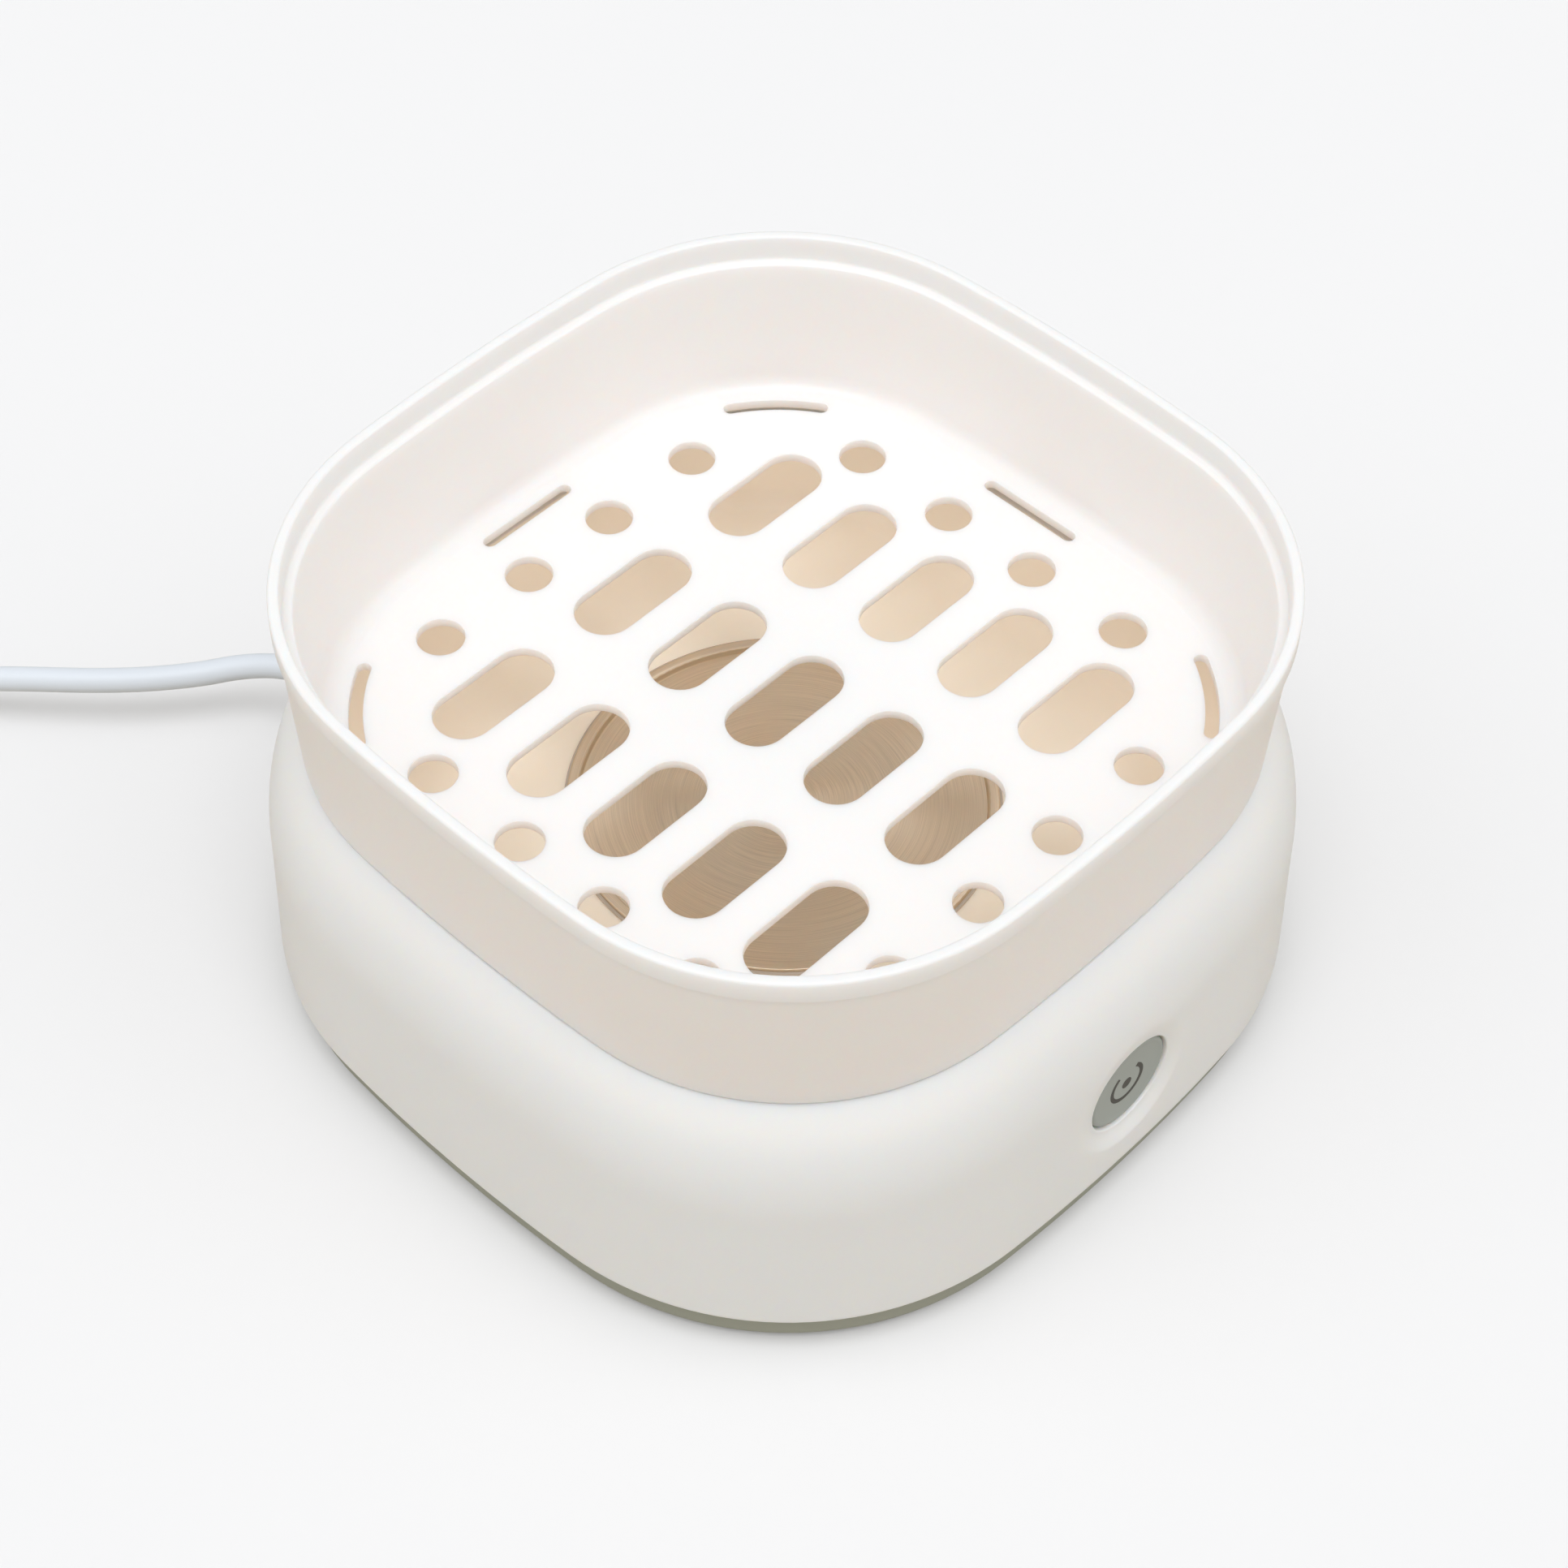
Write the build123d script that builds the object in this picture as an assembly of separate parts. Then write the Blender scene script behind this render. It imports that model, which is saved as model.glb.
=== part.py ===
from build123d import *
import math
import os

# Electric bottle sterilizer: a heated base with a water bowl and a perforated tray that lifts out.
# Millimetres. Z is up from the standing surface, the front with the button faces -Y,
# and the origin is on the surface under the middle of the base.

# Tray, the piece that gives the whole object its outline
tray_half = 91.0           # half the rim's width, across the middle of two sides
tray_corner = 60.5         # corner radius of the rim
tray_bow = 535.0           # radius of the rim's gently bowed sides
tray_height = 41.9         # from the lower edge of its wall to the rim
tray_wall_step = 0.8       # the rim's band stands out from the wall by this
tray_wall_draft = 3.0      # degrees
rim_band = 5.5             # height of the band round the rim
rim_width = 2.4            # flat top of the rim
rim_drop = 5.9             # from the rim down to the inner ledge that carries a lid
rim_ledge = 2.2            # width of that ledge
tray_inner_lean = 2.9      # the inner wall leans in by this down to the floor
tray_floor = 2.2           # thickness of the perforated floor
floor_rise = 3.5           # floor's top above the lower edge of the wall
floor_fillet = 4.0
skirt_wall = 2.0
skirt_inset = 1.3          # the skirt stands back from the wall above it
wall_round = 1.2           # rounding of the wall's lower edge
rim_round = 0.7            # roundings of the rim band's upper and lower edge
band_round = 0.4

# Holes in the tray's floor
slot_half_width = 6.7
slot_half_run = 8.15       # from a slot's middle to the centre of its round end
slot_columns = 3
slot_rows = 5
hole_radius = 5.15
hole_inset = 27.2          # from the rim's outside to the line of round holes along each wall
column_gap = 3.4           # between the slots' round ends and the holes of that line
row_gap = 7.55             # between the slots' sides and the holes of that line
hole_near = 11.9           # along that line
hole_far = 37.3
thin_slot_inset = 14.2     # from the rim's outside to the thin slots beside walls and corners
thin_slot_width = 3.0
side_slot_half_run = 11.0
corner_slot_half_angle = 15.0
hole_edge = 0.4            # rounding of the holes' upper edges

# Base shell
shell_margin = 8.0         # the shell's foot stands out from the rim by this
shell_corner = 69.0
shell_bow = 428.0
shell_draft = 2.0          # degrees
shell_straight = 27.3      # height of the drafted wall, up to the shoulder
shoulder_run = 21.6        # half axes of the shoulder's ellipse
shoulder_rise = 40.3
shoulder_steps = 6
shell_wall = 2.5
recess_clearance = 0.4     # round the tray's wall
recess_depth = 6.1
edge_land = 0.6            # flat top of the shell's edge round the recess
seat_gap = 0.2             # under the tray's skirt and above the shell's edge

# Water bowl
bowl_depth = 22.2          # from the ledge that carries the tray to the bowl's floor
bowl_ledge = 1.6           # the ledge reaches in past the skirt by this
bowl_lean = 4.3
bowl_fillet = 5.0

# Bottom cover and feet
foot_stand = 1.5
foot_radius = 7.0
foot_sunk = 1.5
foot_edge = 0.6            # rounding of a foot's lower edge
foot_inset = 21.0          # from the shell's side to a foot's middle
foot_spread = 40.0         # from the middle to a foot, along that side
cover_height = 8.0         # from its underside to the shell's lower edge
cover_inset = 2.0          # the cover stands back from the shell by this
cover_floor = 2.5
cover_wall = 3.0
cover_edge = 1.8           # rounding of its lower edge
parting_gap = 0.4
lip_height = 3.0           # the lip that enters the shell
lip_clearance = 0.3

# Fastenings
cover_screw_radius = 1.45
cover_screw_length = 14.0
cover_screw_inset = 37.0   # from the shell's side to a cover screw, both ways
small_screw_radius = 1.2
head_height = 2.0
head_overhang = 1.6        # a screw head is wider than its shank by this, all round
thread_clearance = 0.05
hole_clearance = 0.3
blind_end = 1.0            # left solid behind a blind hole
boss_wall = 2.6
pad_wall = 4.6             # of the cover's pads round the cover screws
pad_height = 5.5

# Heating plate and what lies under it
plate_radius = 46.2
plate_sheet = 0.8
plate_rim = 1.9            # width of the raised rim
plate_dip = 1.1            # the plate lies this far below the top of its rim
plate_flare = 0.5          # the step up to the rim leans out by this
plate_round = 0.36         # rounding of the rim's top
seal_lip = 0.6
seal_wall = 0.8
seal_border = 0.6          # the seal shows this far round the plate
spreader_inset = 3.0
spreader_thickness = 3.0
element_radius = 33.0
element_tube = 3.3
element_flat = 0.3         # the tube is flattened this much against the spreader
element_gap_angle = 40.0
pin_radius = 1.25
pin_length = 8.0
pin_angle = 4.0            # from the tube's end to its pin, in degrees about the middle
clamp_sheet = 2.0
clamp_width = 16.0
clamp_foot = 6.0           # the clamp reaches this far past the opening
clamp_bearing = 5.0        # length of its ends that bear on the bowl's underside
clamp_clearance = 0.3      # under the tubular element
stud_radius = 2.0
stud_distance = 18.0
stud_past_nut = 1.0
nut_size = 3.5
nut_height = 3.0
thermostat_radius = 8.0
fuse_radius = 2.6
fuse_length = 22.0
fuse_offset = 20.0
fuse_sunk = 0.2            # the fuse is let into the spreader by this
clip_sheet = 0.8
clip_foot = 4.0

# Push button, its guide and its switch
button_radius = 11.3
button_rise = 23.0         # its axis above the shell's lower edge
button_clearance = 0.35
button_edge = 0.6          # rounding of the cap's front edge
dish_radius = 15.5
dish_depth = 1.6
button_boss = 3.0          # wall thickness round the button
button_flange = 1.9        # the flange behind the wall that keeps the button in
flange_thickness = 1.2
press_travel = 1.2
slide_gap = 0.2
stem_radius = 3.0
running_clearance = 0.05
guide_clearance = 0.2      # round the flange
guide_wall = 1.7
guide_plate = 1.4
stem_past_guide = 0.7
plunger_radius = 1.75
plunger_out = 1.5          # the plunger stands out of the switch by this at rest
plunger_in = 1.3
switch_size = 7.0
switch_depth = 3.5

# Control board and what it carries
board_thickness = 1.6
board_half_width = 35.0
board_above_axis = 5.0
board_above_floor = 4.0
board_post_x = 28.0
board_post_width = 8.0
board_post_depth = 6.0
board_post_height = 26.0
board_screw_height = 18.0  # above the cover's floor
relay_size = (19.0, 15.5, 15.0)
relay_x = -1.0
capacitor_radius = 5.0
capacitor_length = 16.0
capacitor_x = 17.0
header_size = (9.0, 8.0, 8.0)
header_x = -18.0
part_above_floor = 5.0

# Power lead
cord_diameter = 5.8
exit_x = -32.5
exit_z = 17.8
relief_out = 4.2           # the lead comes out of its strain relief this far outside the shell
relief_length = 18.0       # the tapered part, outside the pocket's back wall
relief_root = 5.2
relief_tip = 3.9
relief_flange = 2.0
relief_flange_radius = 6.2
pocket_half_width = 9.5    # the pocket in the shell that the strain relief stands in
pocket_height = 17.0
pocket_wall = 2.0
pocket_root = 1.0          # the pocket's walls end this far inside the shell's inner face
terminal_size = (30.0, 14.0, 20.0)
terminal_from_exit = 45.2
terminal_hole_radius = 2.2
terminal_hole_depth = 3.0
clamp_bar_size = (26.0, 8.0, 4.0)
clamp_bar_from_exit = 27.2
clamp_bar_screw = 9.0
saddle_gap = 0.5           # the saddle and the bar stop this short of the lead's axis
wire_radius = 1.0
wire_gap = 0.1             # between a wire and what it ends at or lies on
wire_spacing = 10.0        # between the two wires at the terminal block
wire_bend = 6.0            # largest radius of a wire's bends
upper_wire_rise = 6.0      # of the wires at the terminal block, above those on the cover's floor
lower_wire_rise = 4.0
wire_first_run = 8.0       # straight run out of the terminal block
header_run = 8.0           # straight run into the board's header
header_slope = 13.0        # run in which a wire rises to the header
header_wire_spread = 2.0

# The largest share of a run that an arc may take at each of its ends
arc_share = 0.45

# Route of the lead's free stretch: x and y from where it leaves, z from the standing surface
cord_route = [
    (0.0, 10.5, 17.8),
    (-2.9, 20.5, 16.9),
    (-8.8, 29.1, 14.9),
    (-17.6, 35.9, 13.3),
    (-31.5, 47.8, 13.1),
    (-49.0, 68.1, 12.5),
    (-63.0, 85.7, 9.4),
    (-74.9, 101.4, 4.4),
]

# Coil of the lead that is put away
coil_from_exit = (-95.5, 129.4)
coil_heading = 125.0       # degrees from +X, the way the lead runs into the coil
coil_lead_in = 13.0        # straight run before the coil
coil_inner = 26.2
coil_pitch = 7.3
coil_floor_gap = 0.15
lower_half_turns = 4
upper_half_turns = 3

# Plug
plug_length = 48.0
plug_width = 46.0
plug_height = 20.5
plug_corner = 9.0
plug_guard = 34.0
plug_guard_root = 5.5
plug_guard_tip = 3.8
plug_guard_sunk = 2.0      # the guard runs into the plug by this
plug_top_round = 2.0
plug_low_round = 1.2
earth_pin = (8.0, 4.0, 22.7)
live_pin = (4.0, 6.35, 17.7)
pin_row = 11.1             # half the distance between the two rows of pins
pin_spread = 11.1          # half the distance between the two live pins
pin_chamfer = 0.8

# Tolerance for picking the edges and faces at a height
same_height = 0.01

# Heights
shell_bottom = foot_stand + cover_height
shoulder_z = shell_bottom + shell_straight
cover_top = foot_stand + cover_floor
shell_half = tray_half + shell_margin
shoulder_half = shell_half - shell_straight * math.tan(math.radians(shell_draft))
wall_lean = (tray_height - rim_band) * math.tan(math.radians(tray_wall_draft))
tray_wall_half = tray_half - tray_wall_step - wall_lean
recess_half = tray_wall_half + recess_clearance
hole_distance = tray_half - hole_inset
slot_room = hole_distance - hole_radius - slot_half_width
column_pitch = (slot_room - column_gap - slot_half_run) * 2 / (slot_columns - 1)
row_pitch = (slot_room - row_gap) * 2 / (slot_rows - 1)
exit_y = shell_half + relief_out
terminal_y = exit_y - terminal_from_exit
clamp_bar_y = exit_y - clamp_bar_from_exit


def shoulder_height(half):
    """Height at which the shoulder has this half width."""
    run = (shoulder_half - half) / shoulder_run
    return shoulder_z + shoulder_rise * math.sqrt(1 - (1 - run) ** 2)


shell_top = shoulder_height(recess_half + edge_land)
ledge_z = shell_top - recess_depth
tray_edge_z = shell_top + 2 * seat_gap
tray_top = tray_edge_z + tray_height
tray_floor_z = tray_edge_z + floor_rise
skirt_half = tray_wall_half - skirt_inset
bowl_top_half = skirt_half - skirt_wall - bowl_ledge
bowl_half = bowl_top_half - bowl_lean
bowl_z = ledge_z - bowl_depth
bowl_under = bowl_z - shell_wall

# The button's axis and the depths behind the front wall
button_z = shell_bottom + button_rise
front_y = -(shell_half - button_rise * math.tan(math.radians(shell_draft)))
button_face_y = front_y + dish_depth - slide_gap
boss_back_y = front_y + dish_depth + button_boss
flange_y = boss_back_y + slide_gap
guide_y = flange_y + flange_thickness + press_travel + slide_gap
stem_end_y = guide_y + guide_plate + press_travel + stem_past_guide
switch_y = stem_end_y + plunger_out
board_y = switch_y + switch_depth
board_back_y = board_y + board_thickness


def outline(half, z, base="tray"):
    """A rounded square with bowed sides, a parallel of the tray's or the shell's outline."""
    outer = tray_half if base == "tray" else shell_half
    corner = (tray_corner if base == "tray" else shell_corner) - (outer - half)
    bow = (tray_bow if base == "tray" else shell_bow) - (outer - half)
    side_centre = half - bow
    reach = bow - corner
    corner_centre = (side_centre + math.sqrt(2 * reach**2 - side_centre**2)) / 2
    meet = math.degrees(math.atan2(corner_centre, corner_centre - side_centre))
    arcs = []
    for turn in (0, 90, 180, 270):
        side = Vector(side_centre, 0, z).rotate(Axis.Z, turn)
        corner_at = Vector(corner_centre, corner_centre, z).rotate(Axis.Z, turn)
        arcs.append(CenterArc(side, bow, turn - meet, 2 * meet))
        arcs.append(CenterArc(corner_at, corner, turn + meet, 90 - 2 * meet))
    return Wire(arcs)


def prism(half, low, high, base="tray"):
    return extrude(Face(outline(half, low, base)), amount=high - low, dir=(0, 0, 1))


def lofted(sections, base="tray", ruled=True):
    """A body through outlines given as (half, z) pairs."""
    return Part(Solid.make_loft([outline(half, z, base) for half, z in sections], ruled).wrapped)


def block(x, y, z):
    """A box from (low, high) pairs along each axis."""
    size = [pair[1] - pair[0] for pair in (x, y, z)]
    middle = [(pair[1] + pair[0]) / 2 for pair in (x, y, z)]
    return Pos(*middle) * Box(*size)


def rod(radius, start, direction, length):
    return extrude(Plane(origin=start, z_dir=direction) * Circle(radius), amount=length)


def turned(profile, axis=Axis.Z):
    """A body turned from (radius, height) points about Z."""
    face = Face(Wire(Polyline([(r, 0, z) for r, z in profile], close=True).edges()))
    return revolve(face, axis)


def screw(head_at, direction, radius, length):
    """A pan head at head_at, its flat underside there, with a shank along direction."""
    back = Vector(*head_at) - Vector(*direction) * head_height
    head = rod(radius + head_overhang, back, direction, head_height)
    return head + rod(radius, head_at, direction, length)


def mirrored_points(x, y):
    return [(sx * x, sy * y) for sx in (-1, 1) for sy in (-1, 1)]


def outward_edges(part, z):
    """Edges that lie flat at a height."""
    return part.edges().filter_by_position(Axis.Z, z - same_height, z + same_height)


def one_solid(shape):
    """Checks that a fused body is one piece."""
    count = len(shape.solids())
    if count != 1:
        print("pieces in a body that should be one:", count)
    return shape


def save(shape, name):
    export_step(shape, f"parts/{name}.step")


# Places that more than one piece uses
cover_screw_at = mirrored_points(shell_half - cover_screw_inset, shell_half - cover_screw_inset)
foot_at = mirrored_points(shell_half - foot_inset, foot_spread)
cover_pad_top = foot_stand + pad_height
pocket_back_y = exit_y - relief_length
pocket_low = shell_bottom + pocket_wall
plate_rim_z = bowl_z + seal_lip + plate_sheet
plate_top = plate_rim_z - plate_dip
opening_radius = plate_radius - plate_rim + plate_flare + seal_wall + thread_clearance
spreader_low = plate_top - plate_sheet - spreader_thickness
clamp_top = spreader_low - 2 * element_tube + element_flat - clamp_clearance


def shell_form(inset, top):
    """The shell's outer form, or a parallel of it, as high as top."""
    wall = [(shell_half - inset, shell_bottom), (shoulder_half - inset, shoulder_z)]
    top_angle = math.asin((top - shoulder_z) / shoulder_rise)
    shoulder = []
    for step in range(shoulder_steps + 1):
        angle = top_angle * step / shoulder_steps
        half = shoulder_half - shoulder_run * (1 - math.cos(angle))
        shoulder.append((half - inset, shoulder_z + shoulder_rise * math.sin(angle)))
    return lofted(wall, "shell") + lofted(shoulder, "shell", ruled=False)


def base_shell():
    roof = ledge_z - shell_wall
    body = shell_form(0, shell_top)
    cavity = shell_form(shell_wall, roof)
    bowl_outside = lofted([(bowl_half + shell_wall, bowl_under), (bowl_top_half + shell_wall, roof)])
    bowl = lofted([(bowl_half, bowl_z), (bowl_top_half, ledge_z)])
    bowl = fillet(outward_edges(bowl, bowl_z), bowl_fillet)
    body -= cavity - bowl_outside
    body -= bowl
    body -= prism(recess_half, ledge_z, tray_top)
    body -= rod(opening_radius, (0, 0, bowl_under), (0, 0, 1), 2 * shell_wall)
    # bosses for the cover screws
    for x, y in cover_screw_at:
        boss_height = bowl_under - cover_pad_top + shell_wall / 2
        body += rod(cover_screw_radius + boss_wall, (x, y, cover_pad_top), (0, 0, 1), boss_height)
        bore = cover_screw_radius + thread_clearance
        body -= rod(bore, (x, y, cover_pad_top), (0, 0, 1), cover_screw_length)
    # dish, boss and hole of the button
    boss_depth = button_boss + dish_depth / 2
    body += rod(dish_radius, (0, boss_back_y, button_z), (0, -1, 0), boss_depth)
    sphere_radius = (dish_radius**2 + dish_depth**2) / (2 * dish_depth)
    body -= Pos(0, front_y + dish_depth - sphere_radius, button_z) * Sphere(sphere_radius)
    button_hole = button_radius + button_clearance
    body -= rod(button_hole, (0, front_y - dish_depth, button_z), (0, 1, 0), 5 * dish_depth)
    # pocket of the strain relief
    low_x = exit_x - pocket_half_width
    high_x = exit_x + pocket_half_width
    wall = pocket_wall
    outer_y = shell_half - shell_wall - pocket_root
    pocket_top = pocket_low + pocket_height
    shroud = block(
        (low_x - wall, high_x + wall),
        (pocket_back_y - wall, outer_y),
        (pocket_low - wall, pocket_top + wall),
    )
    body += shroud
    body -= block((low_x, high_x), (pocket_back_y, shell_half + wall), (pocket_low, pocket_top))
    neck = (exit_x, pocket_back_y - 2 * wall, exit_z)
    body -= rod(relief_root + hole_clearance, neck, (0, 1, 0), 3 * wall)
    return one_solid(body)


def bottom_cover():
    cover_half = shell_half - cover_inset
    top = shell_bottom - parting_gap
    body = prism(cover_half, foot_stand, top, "shell")
    body = fillet(outward_edges(body, foot_stand), cover_edge)
    lip_half = shell_half - shell_wall - lip_clearance
    body += prism(lip_half, top, shell_bottom + lip_height, "shell")
    body -= prism(cover_half - cover_wall, cover_top, shell_bottom + lip_height, "shell")
    # the lip leaves room for the pocket of the strain relief
    clear = pocket_wall + lip_clearance
    body -= block(
        (exit_x - pocket_half_width - clear, exit_x + pocket_half_width + clear),
        (pocket_back_y - clear, shell_half),
        (top, shell_bottom + lip_height),
    )
    for x, y in cover_screw_at:
        body += rod(cover_screw_radius + pad_wall, (x, y, foot_stand), (0, 0, 1), pad_height)
        well = cover_screw_radius + head_overhang + hole_clearance
        body -= rod(well, (x, y, foot_stand), (0, 0, 1), pad_height - shell_wall)
        through = cover_screw_radius + hole_clearance
        body -= rod(through, (x, y, foot_stand), (0, 0, 1), pad_height)
    for x, y in foot_at:
        body -= rod(foot_radius + hole_clearance, (x, y, foot_stand), (0, 0, 1), foot_sunk)
    # posts of the control board
    for side in (-1, 1):
        x = side * board_post_x
        body += block(
            (x - board_post_width / 2, x + board_post_width / 2),
            (board_back_y, board_back_y + board_post_depth),
            (cover_top, cover_top + board_post_height),
        )
        bore_at = (x, board_back_y, cover_top + board_screw_height)
        body -= rod(small_screw_radius + thread_clearance, bore_at, (0, 1, 0), board_post_depth - blind_end)
    # saddle under the lead
    body += block(
        (exit_x - clamp_bar_size[0] / 2, exit_x + clamp_bar_size[0] / 2),
        (clamp_bar_y - clamp_bar_size[1] / 2, clamp_bar_y + clamp_bar_size[1] / 2),
        (cover_top, exit_z - saddle_gap),
    )
    body -= cord_bore()
    for side in (-1, 1):
        bore_at = (exit_x + side * clamp_bar_screw, clamp_bar_y, cover_top + blind_end)
        body -= rod(small_screw_radius + thread_clearance, bore_at, (0, 0, 1), exit_z)
    return one_solid(body)


def cord_bore():
    """The lead's way through the saddle, the clamp bar and the strain relief."""
    start = (exit_x, terminal_y, exit_z)
    length = exit_y - terminal_y + relief_flange
    return rod(cord_diameter / 2 + thread_clearance, start, (0, 1, 0), length)


def rubber_feet():
    foot = rod(foot_radius, (0, 0, 0), (0, 0, 1), foot_stand + foot_sunk)
    foot = fillet(outward_edges(foot, 0), foot_edge)
    return Compound(children=[Pos(x, y, 0) * foot for x, y in foot_at])


def cover_screws():
    seat_z = cover_pad_top - shell_wall
    made = [screw((x, y, seat_z), (0, 0, 1), cover_screw_radius, cover_screw_length)
            for x, y in cover_screw_at]
    return Compound(children=made)


def heating_plate():
    flat = plate_radius - plate_rim - plate_sheet
    low = plate_top - plate_sheet
    profile = [
        (0, plate_top),
        (flat, plate_top),
        (flat + plate_flare, plate_rim_z),
        (plate_radius, plate_rim_z),
        (plate_radius, plate_rim_z - plate_sheet),
        (flat + plate_flare + plate_sheet, plate_rim_z - plate_sheet),
        (flat + plate_sheet, low),
        (0, low),
    ]
    body = turned(profile)
    rim = outward_edges(body, plate_rim_z)
    return fillet(rim, plate_round)


def plate_seal():
    inner = opening_radius - seal_wall
    top = bowl_z + seal_lip
    profile = [
        (inner, bowl_under),
        (opening_radius, bowl_under),
        (opening_radius, bowl_z),
        (plate_radius + seal_border, bowl_z),
        (plate_radius + seal_border, top),
        (inner, top),
    ]
    return turned(profile)


def heat_spreader():
    radius = plate_radius - plate_rim - spreader_inset
    body = rod(radius, (0, 0, spreader_low), (0, 0, 1), spreader_thickness)
    stud_low = clamp_top - clamp_sheet - nut_height - stud_past_nut
    for side in (-1, 1):
        body += rod(stud_radius, (side * stud_distance, 0, stud_low), (0, 0, 1), spreader_low - stud_low)
    return body


def element_pin_at(side):
    """Where the tube's pin is, close to its end beside the gap at the back."""
    angle = math.radians(90 + side * (element_gap_angle / 2 + pin_angle))
    return element_radius * math.cos(angle), element_radius * math.sin(angle)


def heating_element():
    z = spreader_low - element_tube + element_flat
    start = 90 + element_gap_angle / 2
    path = CenterArc((0, 0, z), element_radius, start, 360 - element_gap_angle)
    body = sweep(Plane(origin=path @ 0, z_dir=path % 0) * Circle(element_tube), path=path)
    body -= rod(plate_radius, (0, 0, spreader_low), (0, 0, 1), element_tube)
    for side in (-1, 1):
        x, y = element_pin_at(side)
        body += rod(pin_radius, (x, y, z - pin_length), (0, 0, 1), pin_length)
    return one_solid(body)


def plate_clamp():
    """A bar across the opening, bearing on the bowl's underside, with two holes for the studs."""
    reach = opening_radius + clamp_foot
    half = clamp_width / 2
    body = block((-reach, reach), (-half, half), (clamp_top - clamp_sheet, clamp_top))
    for side in (-1, 1):
        foot = sorted((side * (reach - clamp_bearing), side * reach))
        body += block(foot, (-half, half), (clamp_top - clamp_sheet, bowl_under))
        hole_at = (side * stud_distance, 0, clamp_top - clamp_sheet)
        body -= rod(stud_radius + hole_clearance, hole_at, (0, 0, 1), clamp_sheet)
    return body


def clamp_nuts():
    made = []
    for side in (-1, 1):
        low = clamp_top - clamp_sheet - nut_height
        place = Plane(origin=(side * stud_distance, 0, low))
        nut = extrude(place * RegularPolygon(nut_size, 6), amount=nut_height)
        bore = rod(stud_radius + thread_clearance, (side * stud_distance, 0, low), (0, 0, 1), nut_height)
        made.append(nut - bore)
    return Compound(children=made)


def thermostat():
    return rod(thermostat_radius, (0, 0, clamp_top), (0, 0, 1), spreader_low - clamp_top)


def fuse_sleeve(radius, length):
    start = (-length / 2, -fuse_offset, spreader_low - fuse_radius + fuse_sunk)
    return rod(radius, start, (1, 0, 0), length)


def thermal_fuse():
    spreader_top = spreader_low + spreader_thickness
    above = block((-fuse_length, fuse_length), (-2 * fuse_offset, 0), (spreader_low, spreader_top))
    return fuse_sleeve(fuse_radius, fuse_length) - above


def fuse_clip():
    """A strap over the fuse with a foot on each side, held against the spreader."""
    outer = fuse_radius + thread_clearance + clip_sheet
    half = clip_foot
    strap = block(
        (-half, half),
        (-fuse_offset - outer, -fuse_offset + outer),
        (spreader_low - fuse_radius - outer, spreader_low),
    )
    feet = block(
        (-half, half),
        (-fuse_offset - outer - clip_foot, -fuse_offset + outer + clip_foot),
        (spreader_low - clip_sheet, spreader_low),
    )
    opening = fuse_sleeve(fuse_radius + thread_clearance, fuse_length)
    opening += block(
        (-fuse_length / 2, fuse_length / 2),
        (-fuse_offset - fuse_radius - thread_clearance, -fuse_offset + fuse_radius + thread_clearance),
        (spreader_low - fuse_radius, spreader_low),
    )
    return strap + feet - opening


def power_button():
    cap = rod(button_radius, (0, button_face_y, button_z), (0, 1, 0), flange_y - button_face_y)
    near = (button_face_y - same_height, button_face_y + same_height)
    cap = fillet(cap.edges().filter_by_position(Axis.Y, *near), button_edge)
    flange_radius = button_radius + button_flange
    body = cap + rod(flange_radius, (0, flange_y, button_z), (0, 1, 0), flange_thickness)
    stem_start = flange_y + flange_thickness
    return body + rod(stem_radius, (0, stem_start, button_z), (0, 1, 0), stem_end_y - stem_start)


def button_guide():
    """A cup fixed to the boss behind the wall, whose plate guides the stem and stops the flange."""
    inner = button_radius + button_flange + guide_clearance
    depth = guide_y + guide_plate - boss_back_y
    body = rod(inner + guide_wall, (0, boss_back_y, button_z), (0, 1, 0), depth)
    body -= rod(inner, (0, boss_back_y, button_z), (0, 1, 0), depth - guide_plate)
    return body - rod(stem_radius + running_clearance, (0, boss_back_y, button_z), (0, 1, 0), depth)


def switch_plunger():
    return rod(plunger_radius, (0, stem_end_y, button_z), (0, 1, 0), plunger_out + plunger_in)


def tact_switch():
    half = switch_size / 2
    body = block((-half, half), (switch_y, board_y), (button_z - half, button_z + half))
    bore = plunger_radius + running_clearance
    depth = plunger_in + press_travel + slide_gap
    return body - rod(bore, (0, switch_y, button_z), (0, 1, 0), depth)


def control_board():
    body = block(
        (-board_half_width, board_half_width),
        (board_y, board_back_y),
        (cover_top + board_above_floor, button_z + board_above_axis),
    )
    for side in (-1, 1):
        hole_at = (side * board_post_x, board_y, cover_top + board_screw_height)
        body -= rod(small_screw_radius + hole_clearance, hole_at, (0, 1, 0), board_thickness)
    return body


def board_screws():
    made = []
    for side in (-1, 1):
        head_at = (side * board_post_x, board_y, cover_top + board_screw_height)
        length = board_thickness + board_post_depth - 2 * blind_end
        made.append(screw(head_at, (0, 1, 0), small_screw_radius, length))
    return Compound(children=made)


def board_part(x, size):
    """A box on the back of the board."""
    width, depth, height = size
    low = cover_top + part_above_floor
    return block((x - width / 2, x + width / 2), (board_back_y, board_back_y + depth), (low, low + height))


def board_capacitor():
    centre = (capacitor_x, board_back_y, cover_top + part_above_floor + capacitor_radius)
    return rod(capacitor_radius, centre, (0, 1, 0), capacitor_length)


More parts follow.
